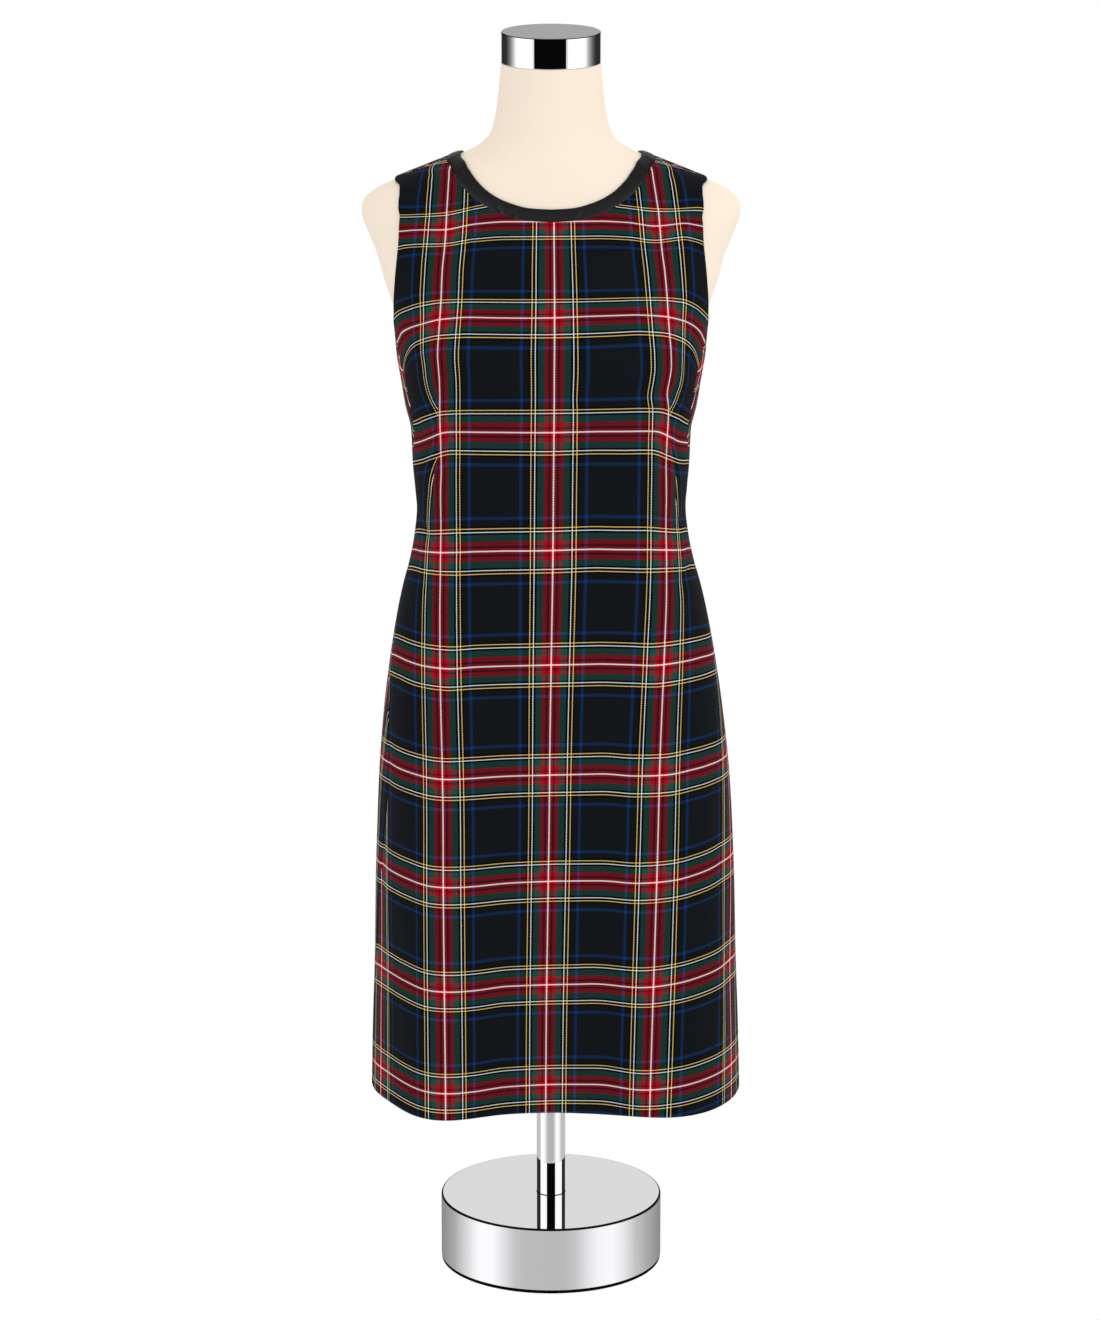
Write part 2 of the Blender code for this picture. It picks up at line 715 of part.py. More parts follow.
def round_end(middle_y, radius, first, last, steps):
    """Points of an arc about (0, middle_y), between two angles in degrees."""
    angles = [math.radians(first + (last - first) * step / steps) for step in range(steps + 1)]
    return [(radius * math.cos(angle), middle_y + radius * math.sin(angle)) for angle in angles]


def build_slider():
    """The slider: a plate over the seam with two ears and the pin that carries the pull."""
    frame = back_frame()
    shoulder = SLIDER_LENGTH / 2 - SLIDER_WIDTH / 2
    outline = round_end(shoulder, SLIDER_WIDTH / 2, 0.0, 180.0, 10)
    outline += [(-SLIDER_WIDTH * 0.36, -SLIDER_LENGTH / 2), (SLIDER_WIDTH * 0.36, -SLIDER_LENGTH / 2)]
    slider = flat_plate("zip_slider", outline, 0.0, SLIDER_WALL, frame, ZIP_METAL)
    pin_height = SLIDER_WALL + GAP + EYE_RADIUS
    ear_across = EYE_WIDTH / 2 + GAP + EAR_WALL / 2
    ear_sink = 0.0004
    ear_tall = pin_height + EAR_RISE - SLIDER_WALL + ear_sink
    for side in (-1, 1):
        centre = (side * ear_across, 0.0, SLIDER_WALL - ear_sink + ear_tall / 2)
        ear_name = "slider_ear_right" if side < 0 else "slider_ear_left"
        ear = box(ear_name, (EAR_WALL, EAR_LENGTH, ear_tall), centre, frame)
        apply_tool(slider, ear, "UNION")
    pin_length = 2 * ear_across
    pin = cylinder_along_x("slider_pin", PIN_RADIUS, pin_length, (0.0, 0.0, pin_height), frame, TOOLS)
    apply_tool(slider, pin, "UNION")
    return frame @ Matrix.Translation((0.0, 0.0, pin_height))


def build_pull(pin_frame):
    """The pull: a drop-shaped plate that hangs from an eye round the slider's pin."""
    lean = Matrix.Rotation(math.radians(PULL_LEAN), 4, "X")
    frame = pin_frame @ lean
    end = PULL_WIDTH / 2
    outline = round_end(-PULL_LENGTH + end, end, 180.0, 360.0, 12)
    neck, neck_end = EYE_WIDTH * 0.42, -PULL_LENGTH * 0.20
    start = -(EYE_BORE + EYE_RADIUS) / 2
    outline += [(neck, neck_end), (neck, start), (-neck, start), (-neck, neck_end)]
    pull = flat_plate("zip_pull", outline, -PULL_WALL / 2, PULL_WALL, frame, ZIP_METAL)
    eye = cylinder_along_x("pull_eye", EYE_RADIUS, EYE_WIDTH, (0.0, 0.0, 0.0), frame, TOOLS)
    apply_tool(pull, eye, "UNION")
    bore = cylinder_along_x("pull_bore", EYE_BORE, 2 * EYE_WIDTH, (0.0, 0.0, 0.0), frame, TOOLS)
    apply_tool(pull, bore, "DIFFERENCE")
    return pull


build_zip_tape()
build_pull(build_slider())


# ---------------------------------------------------------------- the form and its stand


def side_heights(bottom, top, spacing):
    """Heights between two levels, spaced evenly along the form's outline at its side."""
    fine = np.linspace(bottom, top, 400)
    outline = [FORM["half_width"](height) for height in fine]
    run = np.concatenate([[0.0], np.cumsum(np.hypot(np.diff(outline), np.diff(fine)))])
    count = round(run[-1] / spacing)
    return np.interp(np.linspace(0.0, run[-1], count + 1), run, fine)


def drawn_in(ring, inset, height):
    """A level copy of a ring, drawn in towards its middle."""
    flat = np.array(ring) * np.array([1.0, 1.0, 0.0])
    inward = -flat / np.linalg.norm(flat, axis=1, keepdims=True)
    return flat + inward * inset + np.array([0.0, 0.0, height])


def build_form():
    """The covered torso: rings from the thighs to the neck, closed flat at both ends."""
    girths = [wrapped(2.0 * column / FORM_COLUMNS) for column in range(FORM_COLUMNS)]
    low = FORM_BOTTOM + FORM_BOTTOM_ROUND
    trunk = side_heights(low, FORM_BUST_HEIGHT, FORM_ROW_BELOW_BUST)
    shoulders = side_heights(FORM_BUST_HEIGHT, NECK_TOP, FORM_ROW_ABOVE_BUST)[1:]
    heights = np.concatenate([trunk, shoulders])
    rings = [[form_ring(girth, height) for girth in girths] for height in heights]
    rounding = []
    for turn in (0.0, math.pi / 4):
        inset = FORM_BOTTOM_ROUND * (1 - math.sin(turn))
        rounding.append(drawn_in(rings[0], inset, low - FORM_BOTTOM_ROUND * math.cos(turn)))

    mesh = bmesh.new()
    levels = [[mesh.verts.new(point) for point in ring] for ring in rounding + rings]
    for below, above in zip(levels, levels[1:]):
        for column in range(FORM_COLUMNS):
            beside = (column + 1) % FORM_COLUMNS
            mesh.faces.new((below[column], below[beside], above[beside], above[column]))
    mesh.faces.new(levels[0])
    mesh.faces.new(levels[-1])
    bmesh.ops.recalc_face_normals(mesh, faces=mesh.faces)
    return mesh_object("form_body", mesh, JERSEY)


def turned_object(name, profile, material):
    """A solid turned round Z from a profile of radius and height, which runs down its outer side."""
    data = bpy.data.meshes.new(name)
    points = [(radius, 0.0, height) for radius, height in profile]
    data.from_pydata(points, [(place, place + 1) for place in range(len(points) - 1)], [])
    made = bpy.data.objects.new(name, data)
    PART.objects.link(made)
    screw = made.modifiers.new("turn", "SCREW")
    screw.steps = screw.render_steps = TURNED_STEPS
    screw.use_merge_vertices = True
    screw.merge_threshold = 0.00001
    screw.use_smooth_shade = False
    data.materials.append(material)
    return made


def rounded_disc_profile(radius, bottom, top, edge):
    """Profile of a disc with both rims rounded, from the top's middle to the bottom's middle."""
    profile = [(0.0, top)]
    for step in range(3):
        turn = math.radians(45.0 * step)
        profile.append((radius - edge + edge * math.sin(turn), top - edge + edge * math.cos(turn)))
    for step in range(3):
        turn = math.radians(45.0 * step)
        profile.append((radius - edge + edge * math.cos(turn), bottom + edge - edge * math.sin(turn)))
    profile.append((0.0, bottom))
    return profile


def build_stand():
    """Neck cap, pole and base."""
    cap_bottom = NECK_TOP + GAP
    cap = rounded_disc_profile(CAP_RADIUS, cap_bottom, cap_bottom + CAP_HEIGHT, CAP_EDGE)
    turned_object("neck_cap", cap, CHROME)
    pole_bottom, pole_top = BASE_HEIGHT + GAP, FORM_BOTTOM - GAP
    pole = [(0.0, pole_top), (POLE_RADIUS, pole_top), (POLE_RADIUS, pole_bottom), (0.0, pole_bottom)]
    turned_object("pole", pole, CHROME)
    turned_object("base", rounded_disc_profile(BASE_RADIUS, 0.0, BASE_HEIGHT, BASE_EDGE), CHROME)


build_form()
build_stand()
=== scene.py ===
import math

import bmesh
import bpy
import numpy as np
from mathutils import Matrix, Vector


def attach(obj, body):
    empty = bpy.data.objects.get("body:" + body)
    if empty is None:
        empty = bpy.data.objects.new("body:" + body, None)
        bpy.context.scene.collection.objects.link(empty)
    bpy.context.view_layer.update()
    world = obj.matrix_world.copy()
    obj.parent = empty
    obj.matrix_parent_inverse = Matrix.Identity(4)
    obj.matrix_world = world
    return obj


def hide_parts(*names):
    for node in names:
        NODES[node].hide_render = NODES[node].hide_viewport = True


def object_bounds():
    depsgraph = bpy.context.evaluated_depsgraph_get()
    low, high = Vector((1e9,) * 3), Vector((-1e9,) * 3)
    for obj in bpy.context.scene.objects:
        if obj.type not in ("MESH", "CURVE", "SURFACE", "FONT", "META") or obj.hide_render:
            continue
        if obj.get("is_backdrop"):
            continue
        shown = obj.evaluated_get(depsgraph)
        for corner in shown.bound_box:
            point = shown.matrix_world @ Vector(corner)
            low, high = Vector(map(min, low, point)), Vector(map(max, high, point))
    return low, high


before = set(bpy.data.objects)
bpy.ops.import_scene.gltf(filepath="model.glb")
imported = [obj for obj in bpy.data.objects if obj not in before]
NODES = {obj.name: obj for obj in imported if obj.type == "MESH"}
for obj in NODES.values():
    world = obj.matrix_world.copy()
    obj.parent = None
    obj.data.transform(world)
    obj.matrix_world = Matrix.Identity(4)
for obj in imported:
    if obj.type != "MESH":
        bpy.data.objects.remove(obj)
cad_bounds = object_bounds()

# %% [markdown]
# # A tartan shift dress on its dress form
# A shift dress is three cut pieces of wool, a front and two backs, sewn at the shoulders and sides, shaped
# by darts and closed by a zip at the centre back. It is shown here as a shop shows it, on a limbless form
# with a chrome cap, pole and base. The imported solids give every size, and each cell below lays the real
# cloth, binding, jersey or plating over them.

MM = 0.001


def linear(code):
    """An sRGB hex colour as the linear numbers that a shader takes."""
    parts = [int(code[place : place + 2], 16) / 255 for place in (1, 3, 5)]
    return tuple(part / 12.92 if part <= 0.04045 else ((part + 0.055) / 1.055) ** 2.4 for part in parts)


def add_node(tree, kind, settings=None, links=None):
    """One node with its settings, and its inputs filled with a value or with another node's output."""
    node = tree.nodes.new(kind)
    for name, value in (settings or {}).items():
        setattr(node, name, value)
    for name, value in (links or {}).items():
        socket = node.inputs[name]
        if isinstance(value, bpy.types.NodeSocket):
            tree.links.new(value, socket)
        else:
            socket.default_value = value
    return node


def new_material(name, colour, roughness, **sockets):
    """A material that starts as one colour and one roughness, with its tree and its shader."""
    made = bpy.data.materials.new(name)
    made.use_nodes = True
    shader = made.node_tree.nodes["Principled BSDF"]
    shader.inputs["Base Color"].default_value = (*linear(colour), 1.0)
    shader.inputs["Roughness"].default_value = roughness
    for socket, value in sockets.items():
        shader.inputs[socket.replace("_", " ")].default_value = value
    return made, made.node_tree, shader


def add_grain(tree, shader, scale, detail=2.0, bump=None, rough=None, span=(0.3, 0.7)):
    """Noise that stays with the object, as a bump of a strength and depth, an uneven roughness, or both."""
    spot = add_node(tree, "ShaderNodeTexCoord")
    noise = add_node(
        tree, "ShaderNodeTexNoise", None,
        {"Vector": spot.outputs["Object"], "Scale": scale, "Detail": detail},
    )
    if bump:
        strength, depth = bump
        raised = add_node(
            tree, "ShaderNodeBump", None,
            {"Height": noise.outputs[0], "Strength": strength, "Distance": depth * MM},
        )
        tree.links.new(raised.outputs["Normal"], shader.inputs["Normal"])
    if rough:
        uneven = add_node(
            tree, "ShaderNodeMapRange", None,
            {"Value": noise.outputs[0], "From Min": span[0], "From Max": span[1],
             "To Min": rough[0], "To Max": rough[1]},
        )
        tree.links.new(uneven.outputs["Result"], shader.inputs["Roughness"])


def let_go():
    """Leave edit mode and deselect everything, so that an operator acts only on what comes next."""
    if bpy.context.object and bpy.context.object.mode != "OBJECT":
        bpy.ops.object.mode_set(mode="OBJECT")
    bpy.ops.object.select_all(action="DESELECT")


def take(thing):
    let_go()
    bpy.context.view_layer.objects.active = thing
    thing.select_set(True)
    return thing


def place_mesh(name, mesh, finish=None, sharp=None):
    """Turn bmesh faces into a named object in the scene, smooth but for edges over an angle in degrees."""
    data = bpy.data.meshes.new(name)
    mesh.to_mesh(data)
    mesh.free()
    if sharp:
        data.shade_smooth()
        data.set_sharp_from_angle(angle=math.radians(sharp))
    return place_data(name, data, finish)


def place_data(name, data, finish=None):
    made = bpy.data.objects.new(name, data)
    bpy.context.scene.collection.objects.link(made)
    if finish:
        data.materials.append(finish)
    return made


print("CAD box, mm:", [[round(value / MM) for value in corner] for corner in cad_bounds])

# %% [markdown]
# ## Camera
# A catalogue picture is taken from far off with a long lens, a little above the shoulders and looking down,
# so that the hem shows as a soft curve and the base as a shallow ellipse.

# %% Camera
CAMERA_DISTANCE = 5.54
CAMERA_TILT = math.radians(15.0)
CAMERA_LENS = 155.73
CAMERA_SHIFT = -0.00076
TARGET_HEIGHT = 0.6136

lens = bpy.data.cameras.new("camera")
lens.lens = CAMERA_LENS
lens.shift_x = CAMERA_SHIFT
lens.clip_end = 200.0
camera = place_data("camera", lens)
camera.location = (
    0.0,
    -CAMERA_DISTANCE * math.cos(CAMERA_TILT),
    TARGET_HEIGHT + CAMERA_DISTANCE * math.sin(CAMERA_TILT),
)
camera.rotation_euler = (math.pi / 2 - CAMERA_TILT, 0.0, 0.0)
bpy.context.scene.camera = camera
bpy.context.scene.view_settings.view_transform = "Standard"
bpy.context.scene.view_settings.look = "None"
print("camera at", [round(value, 3) for value in camera.location])

# %% [markdown]
# ## The shape under the cloth
# A tailor takes a body as a stack of tape measurements. The same is done here: rows of half width, depth in
# front, depth behind and how square the corners are, one for each height. A smooth curve runs through each
# column. Girth is the place on a level ring: 0 at centre front, 0.5 at the side and 1 at centre back, and
# negative on the -X side. These are the same rows that the solids are made from, so that the cloth lies
# exactly where they are.

# %% Rings of the body and the dress
SHOULDER_RINGS = [
    (0.9620, 0.1492, 0.1165, 0.1000, 2.50, 2.30),
    (0.9886, 0.1580, 0.1050, 0.0985, 2.30, 2.20),
    (1.0167, 0.1660, 0.0925, 0.0945, 2.15, 2.10),
    (1.0379, 0.1745, 0.0830, 0.0895, 2.05, 2.05),
    (1.0543, 0.1798, 0.0758, 0.0840, 2.00, 2.00),
    (1.0630, 0.1795, 0.0722, 0.0806, 2.00, 2.00),
    (1.0707, 0.1742, 0.0692, 0.0774, 2.00, 2.00),
    (1.0784, 0.1628, 0.0664, 0.0742, 2.00, 2.00),
    (1.0860, 0.1448, 0.0640, 0.0710, 2.00, 2.00),
    (1.0955, 0.1210, 0.0614, 0.0670, 2.00, 2.00),
    (1.1052, 0.0964, 0.0592, 0.0632, 2.00, 2.00),
    (1.1100, 0.0835, 0.0580, 0.0612, 2.00, 2.00),
    (1.1196, 0.0668, 0.0553, 0.0573, 2.00, 2.00),
    (1.1311, 0.0570, 0.0527, 0.0544, 2.00, 2.00),
    (1.1512, 0.0520, 0.0503, 0.0513, 2.00, 2.00),
    (1.1722, 0.0494, 0.0484, 0.0488, 2.00, 2.00),
    (1.1975, 0.0473, 0.0470, 0.0470, 2.00, 2.00),
]
FORM_RINGS = np.array([
    (0.3920, 0.1480, 0.0930, 0.1000, 2.30, 2.30),
    (0.4600, 0.1565, 0.0980, 0.1100, 2.30, 2.30),
    (0.5300, 0.1585, 0.1000, 0.1145, 2.30, 2.30),
    (0.6000, 0.1515, 0.0985, 0.1085, 2.30, 2.30),
    (0.6600, 0.1395, 0.0955, 0.0955, 2.35, 2.30),
    (0.7200, 0.1265, 0.0925, 0.0835, 2.40, 2.30),
    (0.7700, 0.1210, 0.0925, 0.0770, 2.45, 2.30),
    (0.8200, 0.1240, 0.0985, 0.0795, 2.50, 2.30),
    (0.8700, 0.1330, 0.1110, 0.0870, 2.60, 2.30),
    (0.9150, 0.1420, 0.1240, 0.0950, 2.75, 2.30),
    (0.9400, 0.1455, 0.1228, 0.0985, 2.65, 2.30),
] + SHOULDER_RINGS)
DRESS_RINGS = np.array([
    (0.1840, 0.1785, 0.0990, 0.1160, 2.55, 2.50),
    (0.2500, 0.1767, 0.1005, 0.1155, 2.55, 2.50),
    (0.3255, 0.1740, 0.1020, 0.1155, 2.55, 2.50),
    (0.3944, 0.1726, 0.1040, 0.1160, 2.55, 2.50),
    (0.4364, 0.1711, 0.1050, 0.1170, 2.55, 2.50),
    (0.5025, 0.1678, 0.1065, 0.1185, 2.60, 2.40),
    (0.5650, 0.1620, 0.1055, 0.1175, 2.60, 2.40),
    (0.6200, 0.1545, 0.1025, 0.1140, 2.60, 2.40),
    (0.6577, 0.1480, 0.1000, 0.1080, 2.60, 2.40),
    (0.6877, 0.1415, 0.0985, 0.1030, 2.65, 2.40),
    (0.7136, 0.1345, 0.0975, 0.0975, 2.70, 2.40),
    (0.7384, 0.1296, 0.0970, 0.0920, 2.80, 2.40),
    (0.7672, 0.1267, 0.0975, 0.0880, 2.80, 2.40),
    (0.7929, 0.1283, 0.0990, 0.0865, 2.80, 2.40),
    (0.8107, 0.1299, 0.1010, 0.0870, 2.80, 2.40),
    (0.8481, 0.1316, 0.1080, 0.0910, 2.75, 2.40),
    (0.8716, 0.1369, 0.1140, 0.0945, 2.75, 2.40),
    (0.8990, 0.1412, 0.1215, 0.0980, 2.80, 2.40),
    (0.9215, 0.1448, 0.1250, 0.0998, 2.80, 2.35),
    (0.9420, 0.1466, 0.1235, 0.1002, 2.70, 2.30),
] + SHOULDER_RINGS)
SWAY_ROWS = np.array([(0.184, 0.0040), (0.45, 0.0035), (0.60, 0.0018), (0.72, 0.0006), (0.80, 0.0)])
SEAM_ROWS = np.array([
    (0.184, 0.460, 0.500), (0.300, 0.447, 0.499), (0.380, 0.430, 0.497), (0.450, 0.406, 0.494),
    (0.500, 0.388, 0.492), (0.540, 0.395, 0.492), (0.600, 0.440, 0.492), (0.660, 0.474, 0.490),
    (0.740, 0.486, 0.486), (0.780, 0.476, 0.472), (0.820, 0.436, 0.428), (0.860, 0.385, 0.378),
    (0.885, 0.368, 0.366), (0.905, 0.370, 0.363), (0.920, 0.385, 0.374), (0.935, 0.412, 0.405),
    (0.948, 0.440, 0.440),
])
# face (1 front, -1 back), side, run from the middle, spread, depth at the hem, height where it dies away
FLUTES = [
    (1, -1, 0.108, 0.044, 0.0330, 0.76),
    (1, 1, 0.118, 0.056, 0.0255, 0.66),
    (1, 1, 0.000, 0.030, -0.0020, 0.45),
    (-1, -1, 0.104, 0.045, 0.0200, 0.62),
    (-1, 1, 0.126, 0.040, 0.0260, 0.66),
    (-1, 1, 0.010, 0.034, -0.0040, 0.45),
]


def smooth_value(places, values, at):
    """A smooth curve through a table, flat at peaks so that it never overshoots, read at many places."""
    at = np.asarray(at, dtype=float).ravel()
    places = np.broadcast_to(places, (len(at), np.shape(places)[-1]))
    values = np.broadcast_to(values, (len(at), np.shape(values)[-1]))
    rises = np.diff(values, axis=1) / np.diff(places, axis=1)
    before, after = rises[:, :-1], rises[:, 1:]
    both = np.where(before * after > 0, before + after, 1.0)
    inner = np.where(before * after > 0, 2 * before * after / both, 0.0)
    slopes = np.concatenate([rises[:, :1], inner, rises[:, -1:]], axis=1)
    rows = np.arange(len(at))
    spot = np.clip((places <= at[:, None]).sum(axis=1) - 1, 0, places.shape[1] - 2)
    low, high = places[rows, spot], places[rows, spot + 1]
    share = (np.clip(at, places[:, 0], places[:, -1]) - low) / (high - low)
    bend = share * share * (3 - 2 * share)
    value = values[rows, spot] * (1 - bend) + values[rows, spot + 1] * bend
    value += slopes[rows, spot] * (high - low) * share * (1 - share) ** 2
    value -= slopes[rows, spot + 1] * (high - low) * share**2 * (1 - share)
    return value


def column(table, number, heights):
    return smooth_value(table[:, 0], table[:, number], heights)


def fade(height, bottom, top):
    share = np.clip((top - height) / (top - bottom), 0.0, 1.0)
    return share * share * (3 - 2 * share)


QUARTER = np.linspace(0.0, math.pi / 2, 101)


def quarter_ring(half_width, depth, square):
    """Quarters of rounded boxes, one for each row, from the middle to the side, and the run along them."""
    sine, cosine = np.sin(QUARTER), np.cos(QUARTER)
    half_width, depth, square = half_width[:, None], depth[:, None], square[:, None]
    reach = ((sine / half_width) ** square + (cosine / depth) ** square) ** (-1.0 / square)
    across, deep = reach * sine, reach * cosine
    steps = np.hypot(np.diff(across, axis=1), np.diff(deep, axis=1))
    run = np.concatenate([np.zeros((len(steps), 1)), np.cumsum(steps, axis=1)], axis=1)
    return across, deep, run


def ring_place(rings, girth, height):
    """Where places of girth and height lie on level rings, and which way is out there."""
    around = (girth + 1.0) % 2.0 - 1.0
    side = np.where(around >= 0, 1.0, -1.0)
    facing = np.where(np.abs(around) <= 0.5, 1.0, -1.0)
    from_middle = np.where(facing > 0, np.abs(around), 1.0 - np.abs(around)) / 0.5
    half_width = column(rings, 1, height)
    depth = np.where(facing > 0, column(rings, 2, height), column(rings, 3, height))
    square = np.where(facing > 0, column(rings, 4, height), column(rings, 5, height))
    across, deep, run = quarter_ring(half_width, depth, square)
    place = from_middle * run[:, -1]
    rows = np.arange(len(place))
    spot = np.clip((run <= place[:, None]).sum(axis=1) - 1, 0, len(QUARTER) - 2)
    part = (place - run[rows, spot]) / (run[rows, spot + 1] - run[rows, spot])
    x = across[rows, spot] * (1 - part) + across[rows, spot + 1] * part
    y = np.maximum(deep[rows, spot] * (1 - part) + deep[rows, spot + 1] * part, 0.0)
    out_x = (x / half_width) ** (square - 1) / half_width
    out_y = (y / depth) ** (square - 1) / depth
    size = np.hypot(out_x, out_y)
    return side * x, -facing * y, side * out_x / size, -facing * out_y / size, facing, side * place


print("rings:", len(DRESS_RINGS), "for the dress and", len(FORM_RINGS), "for the form")

# %% [markdown]
# ## Creases
# Wool suiting is springy: over the bust it lies taut, and where the body falls away it hangs in shallow
# troughs that run out from the armhole, across the waist and down the skirt. They are listed one row
# each, as soft troughs (negative) or ridges along a line of the cloth, no two alike.

# %% Creases of the dress
# side, girth and height of both ends, half width and depth in millimetres
CREASES = [
    (-1, 0.425, 0.953, 0.290, 0.920, 8.0, -0.7),
    (1, 0.420, 0.950, 0.300, 0.915, 7.0, -0.6),
    (-1, 0.350, 0.868, 0.235, 0.800, 12.0, -1.4),
    (1, 0.345, 0.862, 0.255, 0.795, 11.0, -1.2),
    (-1, 0.470, 0.768, 0.320, 0.750, 7.0, -1.7),
    (1, 0.475, 0.774, 0.345, 0.762, 6.5, -1.5),
    (-1, 0.470, 0.738, 0.350, 0.716, 8.0, -1.1),
    (1, 0.470, 0.731, 0.320, 0.702, 8.5, -1.3),
    (-1, 0.240, 0.742, 0.090, 0.752, 12.0, -0.9),
    (1, 0.210, 0.728, 0.050, 0.738, 13.0, -0.8),
    (-1, 0.210, 1.045, 0.300, 0.990, 10.0, -0.5),
    (1, 0.230, 1.040, 0.310, 0.985, 9.0, -0.5),
    (-1, 0.390, 0.600, 0.410, 0.300, 14.0, -1.6),
    (1, 0.365, 0.540, 0.385, 0.230, 14.0, -1.8),
    (1, 0.075, 0.430, 0.095, 0.196, 13.0, -1.6),
    (-1, 0.110, 0.360, 0.120, 0.196, 12.0, -1.3),
    (-1, 0.440, 0.575, 0.330, 0.625, 10.0, -0.9),
    (1, 0.450, 0.600, 0.350, 0.640, 9.0, -0.8),
    (1, 0.930, 0.778, 0.700, 0.766, 9.0, -2.0),
    (-1, 0.950, 0.772, 0.720, 0.764, 8.5, -1.9),
    (1, 0.960, 0.742, 0.680, 0.733, 10.0, -2.4),
    (-1, 0.940, 0.738, 0.700, 0.728, 9.5, -2.2),
    (1, 0.900, 0.806, 0.760, 0.800, 8.0, -1.1),
    (-1, 0.910, 0.802, 0.740, 0.796, 8.5, -1.3),
    (1, 0.640, 0.990, 0.760, 0.900, 11.0, -0.6),
    (-1, 0.630, 0.985, 0.750, 0.905, 11.0, -0.6),
    (1, 0.640, 0.480, 0.620, 0.230, 14.0, -1.6),
    (-1, 0.660, 0.500, 0.640, 0.230, 14.0, -1.5),
]
GIRTH_METRES = 0.43  # how much cloth a girth of 1 is, about
SPINE_DEPTH, SPINE_SPREAD, SPINE_FADE = 0.0042, 0.034, (1.07, 1.10)


def crease_depth(girth, height):
    """How far the creases move the cloth out, each fading to nothing at its ends."""
    around = (girth + 1.0) % 2.0 - 1.0
    depth = np.zeros(len(girth))
    for side, girth_a, height_a, girth_b, height_b, width, deep in CREASES:
        start = np.array([girth_a * GIRTH_METRES, height_a])
        reach = np.array([girth_b * GIRTH_METRES, height_b]) - start
        length = np.linalg.norm(reach)
        away_x = side * around * GIRTH_METRES - start[0]
        away_z = height - start[1]
        along = (away_x * reach[0] + away_z * reach[1]) / length**2
        off = (away_x * reach[1] - away_z * reach[0]) / length / (width * MM)
        wander = 0.5 * np.sin(7.0 * along + 40.0 * girth_a)
        near = np.exp(-((off + wander * 0.4) ** 2))
        ends = np.exp(-(np.abs(along - 0.5) / 0.46) ** 4)
        depth += deep * MM * near * ends
    return depth


def cloth_point(girth, height, creased=False):
    """Points of the surface that the dress is built on, flutes included."""
    girth, height = np.asarray(girth, dtype=float), np.asarray(height, dtype=float)
    parts = []
    for start in range(0, len(girth), 20000):
        some, tall = girth[start : start + 20000], height[start : start + 20000]
        x, y, out_x, out_y, facing, run = ring_place(DRESS_RINGS, some, tall)
        out = crease_depth(some, tall) if creased else np.zeros(len(some))
        for face, side, along, spread, depth, top in FLUTES:
            away = (run - side * along) / spread
            out += np.where(facing == face, depth * fade(tall, 0.184, top) * np.exp(-away * away), 0.0)
        sway = column(SWAY_ROWS, 1, tall)
        parts.append(np.stack([x + out_x * out + sway, y + out_y * out, tall], axis=1))
    return np.concatenate(parts)


def form_point(girth, height):
    """Points of the form's own surface, hollowed along the spine so that the zip tapes have room."""
    x, y, out_x, out_y, facing, run = ring_place(FORM_RINGS, girth, height)
    hollow = SPINE_DEPTH * fade(height, *SPINE_FADE) * np.exp(-((run / SPINE_SPREAD) ** 2))
    hollow = np.where(facing < 0, hollow, 0.0)
    return np.stack([x - out_x * hollow, y - out_y * hollow, height], axis=1)


def set_off(girth, height, offset):
    """Points a little way off the cloth surface, along its outward normal."""
    around = cloth_point(girth + 0.002, height, True) - cloth_point(girth - 0.002, height, True)
    upward = cloth_point(girth, height + 0.0008, True) - cloth_point(girth, height - 0.0008, True)
    normal = np.cross(around, upward)
    normal /= np.linalg.norm(normal, axis=1, keepdims=True)
    return cloth_point(girth, height, True) + normal * np.asarray(offset)[..., None]


print("creases:", len(CREASES))

# %% [markdown]
# ## Where the cloth is cut
# Each half of a panel is ruled between its middle line and its outer edge. The middle line runs up from
# the hem and round the neck, and the outer edge runs up the side seam and round the armhole.

# %% Edges of the panels
HEM, UNDERARM, SHOULDER_TIP, NECK_POINT = 0.184, 0.948, 1.0850, 1.1048
PATH_GIRTH = 0.42  # metres that a girth of 1 counts for where a path is traced
ARM_BY_CHEST = 8 / 18  # share of the armhole that is ruled to the middle line below the neckline
NECKLINE = {
    1: [(0.0, 1.0577), (0.023, 1.059), (0.043, 1.0638), (0.064, 1.073), (0.08, 1.0845), (0.0905, 1.0965),
        (0.095, 1.1025)],
    -1: [(0.0, 1.084), (0.035, 1.0855), (0.06, 1.0893), (0.08, 1.095), (0.0905, 1.0998), (0.0955, 1.1035)],
}
ARMHOLE = {
    1: [(0.1470, 0.958), (0.1473, 0.968), (0.1472, 0.980), (0.1466, 0.992), (0.1456, 1.006), (0.1445, 1.018),
        (0.1430, 1.035), (0.1419, 1.0555), (0.1425, 1.0755), (0.1438, 1.0837)],
    -1: [(0.1476, 0.958), (0.1482, 0.968), (0.1487, 0.980), (0.1490, 0.992), (0.1488, 1.006), (0.1482, 1.018),
         (0.1471, 1.035), (0.1455, 1.0555), (0.1447, 1.0755), (0.1447, 1.0837)],
}
BAND_EDGE = {
    1: [(0.0, 1.0692), (0.019, 1.0702), (0.0385, 1.0747), (0.056, 1.0825), (0.0685, 1.0925),
        (0.0765, 1.1015), (0.0812, 1.107)],
    -1: [(0.0, 1.0962), (0.03, 1.0968), (0.052, 1.0980), (0.066, 1.0990), (0.0752, 1.1005), (0.0808, 1.1033),
         (0.0836, 1.1066)],
}


